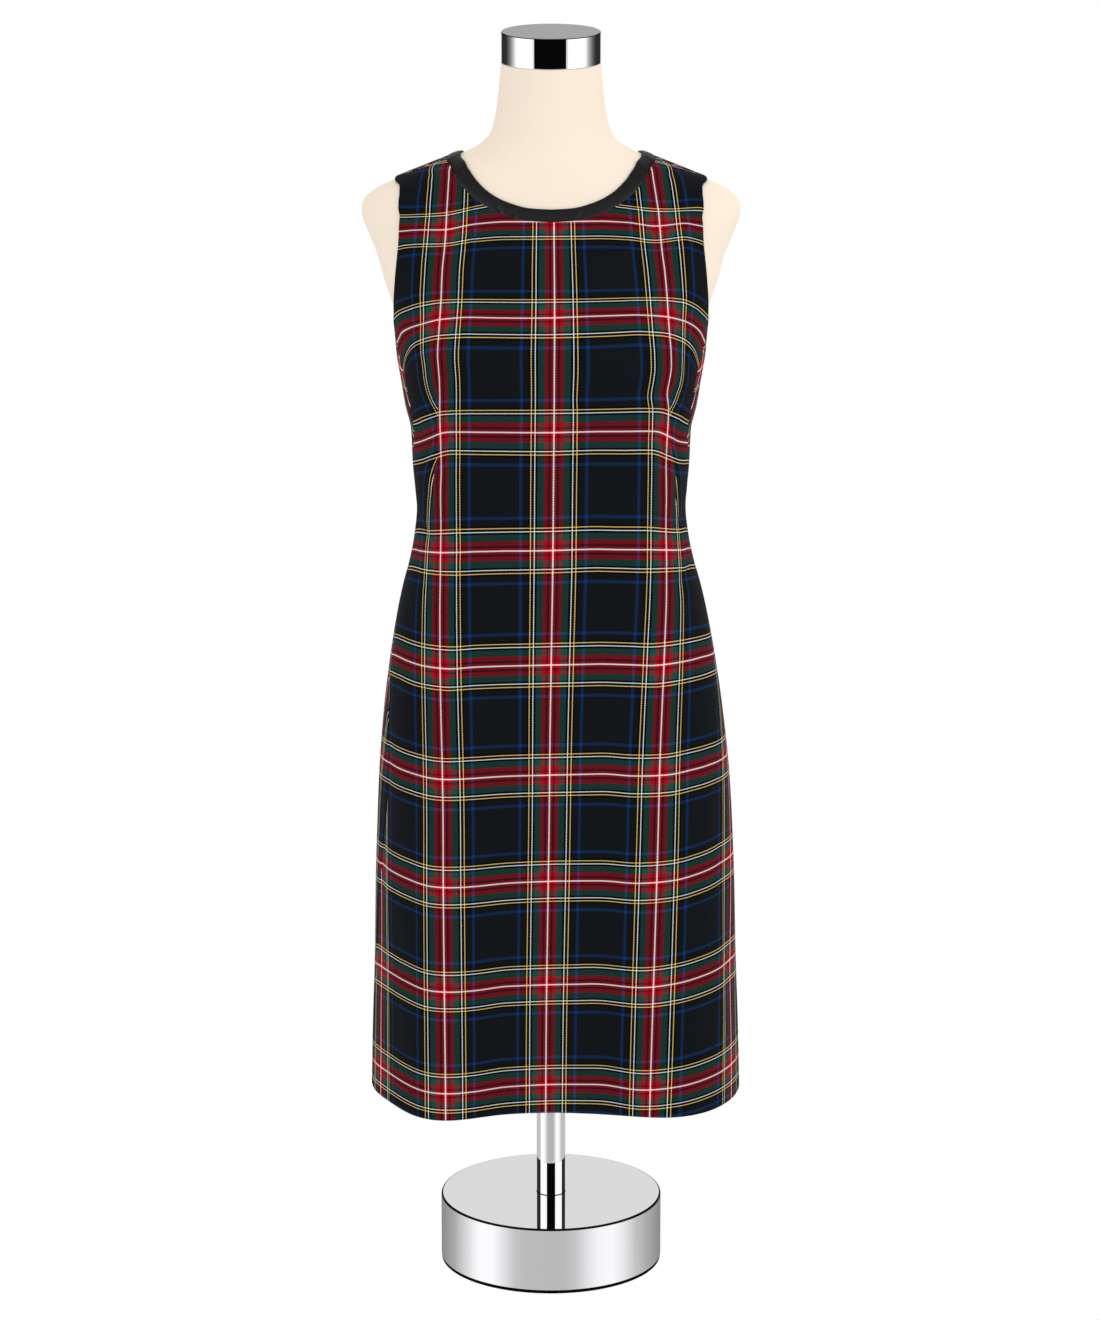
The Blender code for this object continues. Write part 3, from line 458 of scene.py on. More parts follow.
def girth_across(rows, face):
    """Girth and height of points that are given by how far across they are and how high."""
    across, height = np.array(rows).T
    depth = column(DRESS_RINGS, 2 if face > 0 else 3, height)
    square = column(DRESS_RINGS, 4 if face > 0 else 5, height)
    ring_x, _, run = quarter_ring(column(DRESS_RINGS, 1, height), depth, square)
    share = np.array([0.5 * np.interp(a, xs, r) / r[-1] for a, xs, r in zip(across, ring_x, run)])
    return np.stack([share if face > 0 else 1.0 - share, height], axis=1)


def even_path(points, count=241):
    """Evenly spaced girth and height along a smooth curve through a few points."""
    points = np.array(points)
    steps = np.hypot(np.diff(points[:, 0]) * PATH_GIRTH, np.diff(points[:, 1]))
    along = np.concatenate([[0.0], np.cumsum(steps)])
    fine = np.linspace(0.0, along[-1], 400)
    traced = np.stack([smooth_value(along, points[:, axis], fine) for axis in (0, 1)], axis=1)
    lengths = np.linalg.norm(np.diff(cloth_point(*traced.T), axis=0), axis=1)
    run = np.concatenate([[0.0], np.cumsum(lengths)])
    even = np.linspace(0.0, run[-1], count)
    return np.stack([np.interp(even, run, traced[:, axis]) for axis in (0, 1)], axis=1)


def along_path(path, share):
    places = np.clip(share, 0.0, 1.0) * (len(path) - 1)
    numbers = np.arange(len(path))
    return np.stack([np.interp(places, numbers, path[:, axis]) for axis in (0, 1)], axis=1)


def seam_girth(side, height):
    return column(SEAM_ROWS, 2 if side > 0 else 1, height)


def edge_pair(face, side, rise):
    """Middle line and outer edge at places that rise from 0 at the hem to 3 at the shoulder seam."""
    neck = even_path(np.concatenate([girth_across(NECKLINE[face], face), [(0.5, NECK_POINT)]]))
    start = [(seam_girth(side, np.array([UNDERARM]))[0], UNDERARM)]
    arm = even_path(np.concatenate([start, girth_across(ARMHOLE[face], face), [(0.5, SHOULDER_TIP)]]))
    low = HEM + (UNDERARM - HEM) * np.clip(rise, 0, 1)
    chest = low + (neck[0, 1] - UNDERARM) * np.clip(rise - 1, 0, 1)
    middle = np.stack([np.full(len(rise), neck[0, 0]), chest], axis=1)
    middle = np.where((rise > 2)[:, None], along_path(neck, rise - 2), middle)
    share = np.where(
        rise < 2, ARM_BY_CHEST * (rise - 1), ARM_BY_CHEST + (1 - ARM_BY_CHEST) * (rise - 2)
    )
    outer = np.stack([seam_girth(side, low), low], axis=1)
    outer = np.where((rise > 1)[:, None], along_path(arm, share), outer)
    return middle, outer


# %% [markdown]
# ## The tartan, charted thread by thread
# A tartan is one list of coloured stripes, the sett, woven the same way up and across, so that it repeats
# in both directions and mirrors about its middle lines. Cut and sewn, the stripes don't stay straight: they
# sink towards the side over the bust, and the waist darts swallow part of the black square. So the cloth
# gets a chart: where each line of the weave passes, row by row. A UV map then carries the weave, in metres
# of cloth, and the darts are real jumps in it.

# %% Chart of the weave on the front
REPEAT = 0.110
# height, and how far round from centre front five lines of the weave are, in millimetres
WARP_LINES = (-131.2 * MM, -110.0 * MM, 0.0, 110.0 * MM, 131.2 * MM)
WARP_ROWS = np.array([
    (0.184, -128.8, -109.5, -9.3, 93.1, 112.8), (0.266, -128.2, -108.9, -8.7, 94.6, 114.5),
    (0.390, -127.0, -107.6, -6.8, 97.0, 117.0), (0.523, -125.7, -106.1, -4.2, 100.8, 121.0),
    (0.640, -128.3, -107.8, -1.2, 108.0, 129.0), (0.733, -129.8, -108.6, 1.2, 113.6, 135.3),
    (0.800, -129.6, -108.3, 2.2, 114.6, 136.2), (0.884, -128.6, -107.4, 2.9, 115.0, 136.2),
    (0.900, -126.0, -106.9, 3.0, 112.6, 133.6), (0.915, -126.0, -107.0, 3.0, 115.2, 133.5),
    (0.926, -127.0, -107.8, 3.1, 116.7, 133.4), (0.938, -129.2, -108.7, 3.2, 116.4, 133.6),
    (0.955, -129.4, -107.8, 3.3, 114.8, 134.2), (0.975, -128.2, -105.8, 3.3, 112.6, 133.8),
    (0.990, -127.3, -104.5, 3.3, 110.9, 132.7), (1.013, -124.8, -103.2, 3.1, 108.1, 129.3),
    (1.035, -121.6, -100.5, 2.9, 104.6, 125.8), (1.052, -119.5, -98.9, 2.8, 102.7, 122.9),
    (1.065, -118.1, -98.2, 2.8, 101.3, 121.2), (1.080, -117.8, -97.5, 2.8, 99.0, 119.8),
    (1.092, -120.7, -98.2, 2.8, 98.2, 121.0), (1.0995, -131.5, -100.8, 2.8, 99.6, 128.8),
    (1.110, -140.0, -104.0, 2.8, 101.0, 136.0), (1.142, -140.0, -104.0, 2.8, 101.0, 136.0),
])
# Stations of girth on the front, and how high each line of the weave is at each.
CHART_STATIONS = np.array([0.0, 0.10, 0.17, 0.24, 0.30, 0.34, 0.37, 0.41, 0.46, 0.50])
WEFT_PLACES = MM * np.array([
    -110, 22, 80, 110, 130, 200, 220, 240, 310, 330, 440, 550, 660, 770, 880, 990, 1100
])
WEFT_ROWS = {
    -1: [
        [1.250, 1.250, 1.248, 1.2455, 1.242, 1.239, 1.236, 1.233, 1.231, 1.230],
        [1.128, 1.126, 1.122, 1.117, 1.113, 1.110, 1.1075, 1.104, 1.099, 1.092],
        [1.0876, 1.085, 1.0785, 1.0712, 1.0679, 1.0665, 1.066, 1.065, 1.064, 1.063],
        [1.0584, 1.0579, 1.0552, 1.0491, 1.0476, 1.0455, 1.0435, 1.041, 1.039, 1.038],
        [1.0437, 1.043, 1.0404, 1.0352, 1.0332, 1.0308, 1.027, 1.022, 1.018, 1.016],
        [0.9893, 0.9888, 0.988, 0.9857, 0.9803, 0.9745, 0.9699, 0.963, 0.955, 0.950],
        [0.974, 0.9735, 0.973, 0.9693, 0.9614, 0.9548, 0.9485, 0.936, 0.920, 0.912],
        [0.9575, 0.9572, 0.9563, 0.9528, 0.9444, 0.9312, 0.910, 0.890, 0.872, 0.866],
        [0.8883, 0.8877, 0.8863, 0.8824, 0.8733, 0.8667, 0.8624, 0.858, 0.852, 0.848],
        [0.8662, 0.866, 0.865, 0.8623, 0.8532, 0.846, 0.8418, 0.8372, 0.8315, 0.829],
        [0.7477, 0.7468, 0.7452, 0.7421, 0.7387, 0.7364, 0.7347, 0.7323, 0.7274, 0.7247],
        [0.6364, 0.6351, 0.6333, 0.6297, 0.6293, 0.6297, 0.6298, 0.6285, 0.6245, 0.6237],
        [0.529, 0.5277, 0.5258, 0.5238, 0.5248, 0.525, 0.525, 0.5244, 0.5226, 0.5224],
        [0.4225, 0.4207, 0.4189, 0.4182, 0.4199, 0.42, 0.42, 0.42, 0.4178, 0.417],
        [0.3168, 0.3157, 0.3145, 0.3148, 0.3173, 0.3174, 0.3169, 0.3156, 0.3126, 0.311],
        [0.2139, 0.2128, 0.2119, 0.2125, 0.2141, 0.2143, 0.2142, 0.2138, 0.2124, 0.2115],
        [0.110, 0.109, 0.108, 0.1084, 0.1098, 0.11, 0.11, 0.1099, 0.1088, 0.108],
    ],
    1: [
        [1.250, 1.250, 1.248, 1.2455, 1.242, 1.239, 1.236, 1.233, 1.231, 1.230],
        [1.128, 1.126, 1.122, 1.118, 1.115, 1.112, 1.110, 1.106, 1.0975, 1.090],
        [1.0876, 1.085, 1.0785, 1.0745, 1.0724, 1.073, 1.0712, 1.069, 1.067, 1.066],
        [1.0584, 1.0584, 1.0567, 1.0524, 1.0535, 1.0504, 1.0475, 1.045, 1.043, 1.042],
        [1.0437, 1.0437, 1.0421, 1.0383, 1.0396, 1.0358, 1.0305, 1.026, 1.022, 1.020],
        [0.9893, 0.9895, 0.9893, 0.9878, 0.9838, 0.977, 0.9702, 0.962, 0.954, 0.950],
        [0.974, 0.9752, 0.975, 0.9722, 0.9655, 0.9573, 0.9487, 0.937, 0.922, 0.914],
        [0.9575, 0.9582, 0.9584, 0.9553, 0.9459, 0.9315, 0.9135, 0.897, 0.879, 0.872],
        [0.8883, 0.8886, 0.888, 0.8851, 0.8752, 0.8676, 0.8628, 0.858, 0.853, 0.850],
        [0.8662, 0.8669, 0.8658, 0.8632, 0.853, 0.8455, 0.8418, 0.838, 0.8325, 0.830],
        [0.7477, 0.7487, 0.7473, 0.7448, 0.7411, 0.738, 0.7356, 0.7333, 0.7287, 0.726],
        [0.6364, 0.6369, 0.6351, 0.6322, 0.6319, 0.6314, 0.6305, 0.6285, 0.6252, 0.623],
        [0.529, 0.5298, 0.527, 0.526, 0.5275, 0.5276, 0.527, 0.5264, 0.525, 0.524],
        [0.4225, 0.4229, 0.4207, 0.422, 0.4252, 0.4266, 0.427, 0.4273, 0.4255, 0.424],
        [0.3168, 0.3178, 0.3162, 0.3195, 0.3231, 0.3242, 0.3245, 0.3245, 0.3226, 0.321],
        [0.2139, 0.2149, 0.2123, 0.2155, 0.2187, 0.2197, 0.22, 0.2199, 0.219, 0.218],
        [0.110, 0.111, 0.1085, 0.1115, 0.1147, 0.1157, 0.116, 0.1159, 0.115, 0.114],
    ],
}
# height, how far round the dart is on the -X and the +X side, and how much cloth it takes, in millimetres
FRONT_DARTS = np.array([
    (0.763, 119.0, 130.0, 0.0), (0.780, 118.7, 129.5, 1.8), (0.797, 118.3, 129.2, 5.0),
    (0.806, 118.0, 129.0, 6.5), (0.826, 115.3, 126.2, 12.5), (0.840, 112.5, 123.0, 18.5),
    (0.853, 112.2, 121.1, 21.0), (0.862, 111.9, 119.0, 21.5), (0.875, 110.7, 117.3, 19.5),
    (0.884, 109.7, 116.5, 15.5), (0.892, 109.4, 116.0, 9.0), (0.904, 109.0, 115.5, 2.5),
    (0.915, 108.8, 115.2, 0.0),
])
BACK_DARTS = np.array([
    (0.640, 92.0, 92.0, 0.0), (0.680, 90.0, 90.0, 7.0), (0.720, 87.0, 87.0, 15.0), (0.765, 86.0, 86.0, 19.0),
    (0.810, 88.0, 88.0, 13.0), (0.860, 92.0, 92.0, 4.0), (0.890, 95.0, 95.0, 0.0),
])
BACK_STATIONS = np.array([0.0, 0.5, 1.0, 1.3])
BACK_PLACES = np.array([-110, 0, 110, 220, 240, 310, 330, 440, 550, 660, 770, 880, 990, 1100]) * MM
BACK_HIGH_ROWS = [
    [1.250] * 4, [1.145] * 4, [1.038, 1.038, 1.032, 1.030], [0.926, 0.927, 0.918, 0.912],
    [0.906, 0.907, 0.899, 0.893], [0.847, 0.848, 0.848, 0.846],
]
BACK_WEFT_ROWS = {
    -1: BACK_HIGH_ROWS + [
        [0.829, 0.829, 0.830, 0.838], [0.722, 0.722, 0.7247, 0.7347], [0.618, 0.619, 0.6237, 0.630],
        [0.516, 0.518, 0.5224, 0.525], [0.413, 0.414, 0.417, 0.420], [0.310, 0.310, 0.311, 0.317],
        [0.209, 0.209, 0.2115, 0.2143], [0.106, 0.106, 0.108, 0.110],
    ],
    1: BACK_HIGH_ROWS + [
        [0.829, 0.829, 0.831, 0.838], [0.722, 0.722, 0.726, 0.7355], [0.618, 0.619, 0.623, 0.6305],
        [0.516, 0.518, 0.524, 0.527], [0.413, 0.416, 0.424, 0.427], [0.310, 0.313, 0.321, 0.3245],
        [0.209, 0.211, 0.218, 0.220], [0.106, 0.108, 0.114, 0.116],
    ],
}
# the middle of a black square is at the centre back seam, and over the next 200 mm the weave is drawn in
# by 28 mm
BACK_START, BACK_DRAW, BACK_REACH = -55.0 * MM, 28.0 * MM, 200.0 * MM

TALL = np.linspace(0.18, 1.142, 260)
SHARES = np.linspace(0.0, 1.0, 161)


def arc_table(side):
    """How far round from centre front each share of a level ring is, in metres of cloth."""
    heights, shares = np.meshgrid(TALL, SHARES, indexing="ij")
    spots = cloth_point(side * shares.ravel(), heights.ravel()).reshape(*heights.shape, 3)
    steps = np.linalg.norm(np.diff(spots, axis=1), axis=2)
    return np.concatenate([np.zeros((len(TALL), 1)), np.cumsum(steps, axis=1)], axis=1)


ARCS = {side: arc_table(side) for side in (-1, 1)}


def arc_at(side, shares, heights):
    row = np.clip((heights - TALL[0]) / (TALL[1] - TALL[0]), 0, len(TALL) - 1.001)
    spot = np.clip(np.abs(shares) * (len(SHARES) - 1), 0, len(SHARES) - 1.001)
    up, over = row.astype(int), spot.astype(int)
    part, beside = row - up, spot - over
    table = ARCS[side]
    low = table[up, over] * (1 - beside) + table[up, over + 1] * beside
    high = table[up + 1, over] * (1 - beside) + table[up + 1, over + 1] * beside
    return low * (1 - part) + high * part


def share_at_arc(side, arcs, heights):
    """The share of the ring that a distance from centre front reaches."""
    low, high = np.zeros(len(arcs)), np.ones(len(arcs))
    for _ in range(30):
        middle = (low + high) / 2
        short = arc_at(side, middle, heights) < arcs
        low, high = np.where(short, middle, low), np.where(short, high, middle)
    return (low + high) / 2


def weave_across(face, side, shares, heights):
    """Place across the weave, before any dart has taken cloth."""
    arcs = arc_at(side, shares, heights)
    if face < 0:
        behind = arc_at(side, np.ones(len(shares)), heights) - arcs
        return side * (BACK_START + behind + BACK_DRAW * np.clip(behind / BACK_REACH, 0, 1))
    lines = [column(WARP_ROWS, number + 1, heights) * MM for number in range(len(WARP_LINES))]
    across = np.full(len(arcs), WARP_LINES[0])
    for start, end, before, after in zip(WARP_LINES, WARP_LINES[1:], lines, lines[1:]):
        share = (side * arcs - before) / (after - before)
        past = share > 0 if start > WARP_LINES[0] else True
        across = np.where(past, start + share * (end - start), across)
    return across


def weave_down(face, side, shares, heights):
    """Place down the weave: each line is a smooth curve through its stations."""
    if face > 0:
        rows, places, stations, at = WEFT_ROWS[side], WEFT_PLACES, CHART_STATIONS, np.abs(shares)
    else:
        rows, places, stations = BACK_WEFT_ROWS[side], BACK_PLACES, BACK_STATIONS
        at = (1.0 - np.abs(shares)) / 0.5
    lines = np.stack([smooth_value(stations, np.array(row), at) for row in rows], axis=1)
    return smooth_value(lines[:, ::-1], places[::-1], heights)


print("weave repeats every", REPEAT / MM, "mm; lines charted:", len(WEFT_PLACES))

# %% [markdown]
# ## The material: a brushed wool twill in a black tartan
# Worsted wool woven in a 2/2 twill and lightly brushed has next to no shine, so it is fully rough with its
# specular almost gone, and its black stays deep. Where two stripes cross, the eye mixes warp and weft
# half and half, and it mixes them as it sees them, so the mix is made on gamma colours. The white and
# yellow lines are thicker yarns that lie on top, which the alpha of the ramp says, and they take a glint
# of the stripe under them, so that a crossing of two lines is the brightest spot. The fine diagonal of
# the twill is drawn at 1 mm, a little coarser than the real 0.6 mm, so that it shows in a close view.

# %% Tartan wool
GUARD_BLACK, FIELD_BLACK = "#000000", "#121519"
PLAIN, THICK = 0.20, 0.50
LINE = 0.80  # width of a white or yellow line, in millimetres


def sett(white, yellow, red_ends):
    """Where each stripe starts, in millimetres from the middle line, its colour, and its yarn's cover."""
    return [
        (0.0, "#ffffff", THICK), (0.5, "#b80a12", PLAIN), (2.7, "#7a0a18", PLAIN), (3.2, "#480a18", PLAIN),
        (4.6, "#7a0e20", PLAIN), (5.2, "#a80a1a", PLAIN), (red_ends, "#1d4a3f", PLAIN),
        (white - 2.45, GUARD_BLACK, PLAIN), (white - LINE / 2, "#fffdf8", THICK),
        (white + LINE / 2, GUARD_BLACK, PLAIN), (yellow - LINE / 2, "#ffcf58", THICK),
        (yellow + LINE / 2, GUARD_BLACK, PLAIN), (23.4, "#0f1215", PLAIN), (28.9, "#0e3468", PLAIN),
        (32.0, FIELD_BLACK, PLAIN),
    ]


# the weft is beaten a little closer than the warp, so its lines stand closer too
SETT = {"X": sett(17.45, 21.2, 8.7), "Y": sett(17.8, 21.0, 9.2)}
EYE_GAMMA = 1.6  # between plain light and what a screen holds, because dark yarns shade their neighbours
TICK = 2.4 * MM
TWILL = 1.0 * MM


def fill_ramp(ramp, stops):
    """A colour ramp from rows of place, colour and cover."""
    ramp.interpolation = "CONSTANT"
    while len(ramp.elements) > 1:
        ramp.elements.remove(ramp.elements[-1])
    for number, (place, colour, cover) in enumerate(stops):
        stop = ramp.elements[0] if number == 0 else ramp.elements.new(place)
        stop.position = place
        stop.color = (*linear(colour), cover)


MATH = "ShaderNodeMath"
tartan, tree, wool = new_material("brushed_wool_twill", "#121519", 1.0, Specular_IOR_Level=0.03)
wool.inputs["Sheen Weight"].default_value = 0.03
wool.inputs["Sheen Roughness"].default_value = 0.4
weave_map = add_node(tree, "ShaderNodeUVMap", {"uv_map": "weave"})
axes = add_node(tree, "ShaderNodeSeparateXYZ", None, {0: weave_map.outputs["UV"]})
half = 0.5 * REPEAT
stripes = []
for axis in ("X", "Y"):
    folded = add_node(tree, MATH, {"operation": "PINGPONG"}, {0: axes.outputs[axis], 1: half})
    scaled = add_node(tree, MATH, {"operation": "DIVIDE"}, {0: folded.outputs[0], 1: half})
    ramp = add_node(tree, "ShaderNodeValToRGB", None, {0: scaled.outputs[0]})
    fill_ramp(ramp.color_ramp, [(place * MM / half, colour, cover) for place, colour, cover in SETT[axis]])
    seen = add_node(tree, "ShaderNodeGamma", None, {"Color": ramp.outputs["Color"], "Gamma": 1 / EYE_GAMMA})
    stripes.append((seen.outputs["Color"], ramp.outputs["Alpha"]))
(warp_colour, warp_cover), (weft_colour, weft_cover) = stripes
SUMS = [
    # result, what is done, and what to: an axis, a cover, an earlier result or a number
    ("covers", "ADD", "warp cover", "weft cover"), ("share", "DIVIDE", "weft cover", "covers"),
    ("diagonal", "ADD", "X", "Y"), ("turns", "MULTIPLY", "diagonal", 2 * math.pi / TWILL),
    ("rib", "SINE", "turns"), ("lean", "MULTIPLY_ADD", "rib", 0.06, "share"),
    ("picks", "MULTIPLY", "Y", 2 * math.pi / TICK), ("tick", "SINE", "picks"),
    ("thick", "SUBTRACT", "warp cover", PLAIN), ("hidden", "MULTIPLY", "thick", "tick"),
    ("ticked", "MULTIPLY_ADD", "hidden", 0.5, "lean"),
    ("warp on top", "GREATER_THAN", "warp cover", "weft cover"),
    ("glint", "MULTIPLY_ADD", "covers", 2.0, -4.0 * PLAIN),
]
made = {"X": axes.outputs["X"], "Y": axes.outputs["Y"], "warp cover": warp_cover, "weft cover": weft_cover}
for result, done, *parts in SUMS:
    inputs = {place: made.get(part, part) for place, part in enumerate(parts)}
    made[result] = add_node(tree, MATH, {"operation": done}, inputs).outputs[0]
woven = add_node(
    tree, "ShaderNodeMix", {"data_type": "RGBA", "clamp_factor": True},
    {"Factor": made["ticked"], "A": warp_colour, "B": weft_colour},
)
underneath = add_node(
    tree, "ShaderNodeMix", {"data_type": "RGBA"},
    {"Factor": made["warp on top"], "A": warp_colour, "B": weft_colour},
)
lit_under = add_node(tree, "ShaderNodeGamma", None, {"Color": underneath.outputs["Result"], "Gamma": 0.7})
lively = add_node(
    tree, "ShaderNodeMix", {"data_type": "RGBA", "blend_type": "SCREEN", "clamp_factor": True},
    {"Factor": made["glint"], "A": woven.outputs["Result"], "B": lit_under.outputs["Color"]},
)
cloth_colour = add_node(
    tree, "ShaderNodeGamma", None, {"Color": lively.outputs["Result"], "Gamma": EYE_GAMMA}
)
nap = add_node(
    tree, "ShaderNodeTexNoise", None, {"Vector": weave_map.outputs["UV"], "Scale": 900.0, "Detail": 3.0}
)
uneven = add_node(
    tree, "ShaderNodeMapRange", None,
    {"Value": nap.outputs[0], "From Min": 0.3, "From Max": 0.7, "To Min": 0.9, "To Max": 1.1},
)
brushed = add_node(
    tree, "ShaderNodeHueSaturation", None,
    {"Color": cloth_colour.outputs["Color"], "Value": uneven.outputs["Result"]},
)
tree.links.new(brushed.outputs["Color"], wool.inputs["Base Color"])
threads = add_node(tree, MATH, {"operation": "ADD"}, {0: made["rib"], 1: nap.outputs[0]})
raised = add_node(
    tree, "ShaderNodeBump", None, {"Height": threads.outputs[0], "Strength": 0.25, "Distance": 0.15 * MM}
)
tree.links.new(raised.outputs["Normal"], wool.inputs["Normal"])
print("stripes in the sett:", len(SETT["X"]))

# %% [markdown]
# ## The panels
# Real panels are flat cloth, bent over the body and turned in at their edges. Here each half panel is a
# grid of girth and height, one column of which follows the dart. The edge columns stand close together
# and roll inwards, as a pressed seam does, and below the hem the grid turns under and runs up inside for
# 38 mm, so that the hem is a real fold. A Solidify modifier then gives the cloth its thickness.

# %% Panels of the dress
FACE_OFFSET = 2.7 * MM  # of the cloth's outer face from the surface it is built on
CLOTH_WALL = 0.8 * MM
SEAM_ROLL = 0.9 * MM
SEAM_HALF_GAP = 0.03 * MM
EDGE_STEPS = np.array([0.0, 0.45, 1.1, 2.1, 3.6]) * MM
# the turned hem, from its raw edge inside to the fold: height over the hem, offset, and length of cloth
HEM_TURN = [
    (38.0, 0.30, 39.6), (29.0, 0.30, 30.6), (20.0, 0.30, 21.6), (11.0, 0.30, 12.6), (4.0, 0.30, 5.6),
    (1.3, 0.30, 2.9), (0.35, 0.75, 1.9), (0.0, 1.50, 1.2), (0.35, 2.25, 0.5),
]


def rises():
    """Rows of a panel, from the hem at 0 to the shoulder seam at 3, close together at both ends."""
    skirt = np.concatenate([[0.0017], np.linspace(0.005, 1.0, 190)])
    chest = np.linspace(1.0, 2.0, 25)[1:]
    neck = np.concatenate([np.linspace(2.0, 2.985, 34)[1:], [2.993, 2.9985]])
    return np.concatenate([skirt, chest, neck])


def half_panel(face, side, darts, centre_seam):
    """Grid of half a panel with its place in the weave, on both sides of the dart."""
    rise = rises()
    middle, outer = edge_pair(face, side, rise)
    width = np.abs(arc_at(side, outer[:, 0], outer[:, 1]) - arc_at(side, middle[:, 0], middle[:, 1]))
    width = np.maximum(width, 0.06)
    dart_arc = column(darts, 2 if side > 0 else 1, outer[:, 1]) * MM
    if face < 0:
        dart_arc = arc_at(side, np.ones(len(rise)), outer[:, 1]) - dart_arc
    dart_share = share_at_arc(side, dart_arc, outer[:, 1])
    dart_place = (dart_share - middle[:, 0]) / (outer[:, 0] - middle[:, 0])
    settled = np.clip((rise - 1.0) / 0.6, 0, 1)
    dart_place = np.clip(dart_place * (1 - settled) + 0.62 * settled, 0.3, 0.85)

    inner = [share * dart_place for share in np.linspace(0, 1, 38)]
    beyond = [dart_place + (1 - dart_place) * share for share in np.linspace(0, 1, 34)[1:]]
    close = [dart_place + sign * step * MM / width for sign in (-1, 1) for step in (0.9, 2.2)]
    edge = [1 - (SEAM_HALF_GAP + step) / width for step in EDGE_STEPS]
    start = [(SEAM_HALF_GAP + step) / width for step in EDGE_STEPS] if centre_seam else []
    inner = inner[2:] if centre_seam else inner
    beyond = beyond[:-2]
    across = np.stack(sorted(start + inner + close + beyond + edge, key=lambda part: part[40]), axis=1)
    across = np.sort(across, axis=1)
    dart_column = int(np.argmin(np.abs(across[40] - dart_place[40])))

    girth = middle[:, :1] * (1 - across) + outer[:, :1] * across
    height = middle[:, 1:] * (1 - across) + outer[:, 1:] * across
    last = 1 - np.clip((3.0 - rise) * 0.09 / (3.6 * MM), 0, 1)
    from_edge = (1 - across) * width[:, None] - SEAM_HALF_GAP
    if centre_seam:
        from_edge = np.minimum(from_edge, across * width[:, None] - SEAM_HALF_GAP)
    roll = np.clip(1 - from_edge / (2.2 * MM), 0, 1) ** 2
    offset = FACE_OFFSET - SEAM_ROLL * np.maximum(roll, last[:, None] ** 2)
    taken = column(darts, 3, height.ravel()).reshape(height.shape) * MM
    taken *= (height > darts[0, 0]) & (height < darts[-1, 0])
    groove = np.exp(-((across - dart_place[:, None]) * width[:, None] / (1.0 * MM)) ** 2)
    offset -= 0.45 * MM * groove * np.clip(taken / (4 * MM), 0, 1)

    weft = weave_down(face, side, girth.ravel(), height.ravel()).reshape(height.shape)
    warp = weave_across(face, side, girth.ravel(), height.ravel()).reshape(height.shape)
    turned = []
    for lift, off, cloth in HEM_TURN:
        roll_in = (FACE_OFFSET - offset[0]) * (1 if off > 1.4 else -0.5)
        turned.append((girth[0], np.full(girth.shape[1], HEM + lift * MM), off * MM - roll_in,
                       weft[0] + cloth * MM, warp[0], taken[0]))
    stack = [np.array([row[part] for row in turned]) for part in range(6)]
    girth, height, offset, weft, warp, taken = (
        np.concatenate([low, high]) for low, high in zip(stack, (girth, height, offset, weft, warp, taken))
    )
    spots = set_off(side * girth.ravel(), height.ravel(), offset.ravel())
    return {
        "spots": spots, "warp": warp, "weft": weft, "taken": taken * side,
        "dart": dart_column, "flip": face * side < 0,
    }


def panel_mesh(name, halves):
    """One mesh from half panels, with the weave as its UV map and a jump in it at each dart."""
    mesh = bmesh.new()
    weave = mesh.loops.layers.uv.new("weave")
    for half_grid in halves:
        rows, columns = half_grid["warp"].shape
        verts = [mesh.verts.new(spot) for spot in half_grid["spots"]]
        dart = half_grid["dart"]
        for row in range(rows - 1):
            for place in range(columns - 1):
                corners = [(row, place), (row, place + 1), (row + 1, place + 1), (row + 1, place)]
                if half_grid["flip"]:
                    corners = corners[::-1]
                face = mesh.faces.new([verts[r * columns + c] for r, c in corners])
                face.smooth = True
                past = place >= dart
                for loop, (r, c) in zip(face.loops, corners):
                    taken = half_grid["taken"][r, c] if past else 0.0
                    loop[weave].uv = (half_grid["warp"][r, c] + taken, half_grid["weft"][r, c])
    bmesh.ops.remove_doubles(mesh, verts=mesh.verts, dist=0.00002)
    return place_mesh(name, mesh)


def thicken(piece, wall):
    """Give a sheet its thickness, inwards from its face."""
    take(piece)
    solid = piece.modifiers.new("wall", "SOLIDIFY")
    solid.thickness = wall
    solid.offset = -1.0
    bpy.ops.object.modifier_apply(modifier="wall")
    let_go()


def sheet_area(piece):
    return sum(face.area for face in piece.data.polygons) / 2


dress_front = panel_mesh("dress_front", [half_panel(1, side, FRONT_DARTS, False) for side in (1, -1)])
dress_back_left = panel_mesh("dress_back_left", [half_panel(-1, 1, BACK_DARTS, True)])
dress_back_right = panel_mesh("dress_back_right", [half_panel(-1, -1, BACK_DARTS, True)])
for piece, node, flat in (
    (dress_front, "front", (0.520, 0.960)),
    (dress_back_left, "back_left", (0.290, 0.965)),
    (dress_back_right, "back_right", (0.290, 0.965)),
):
    thicken(piece, CLOTH_WALL)
    piece.data.materials.append(tartan)
    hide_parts(node)
    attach(piece, "root")

# %% [markdown]
# ## The neck binding
# A bias strip of black satin is folded over the neck edge. It is soft: it stands a little proud like a thin
# cushion, its upper edge is a fold, and it puckers here and there where it is eased round the curve.

# %% Satin of the binding
satin, tree, shine = new_material("black_bias_satin", "#0f0f0f", 0.42, Specular_IOR_Level=0.35)
add_grain(tree, shine, 420.0, 4.0, bump=(0.35, 0.3), rough=(0.36, 0.50))

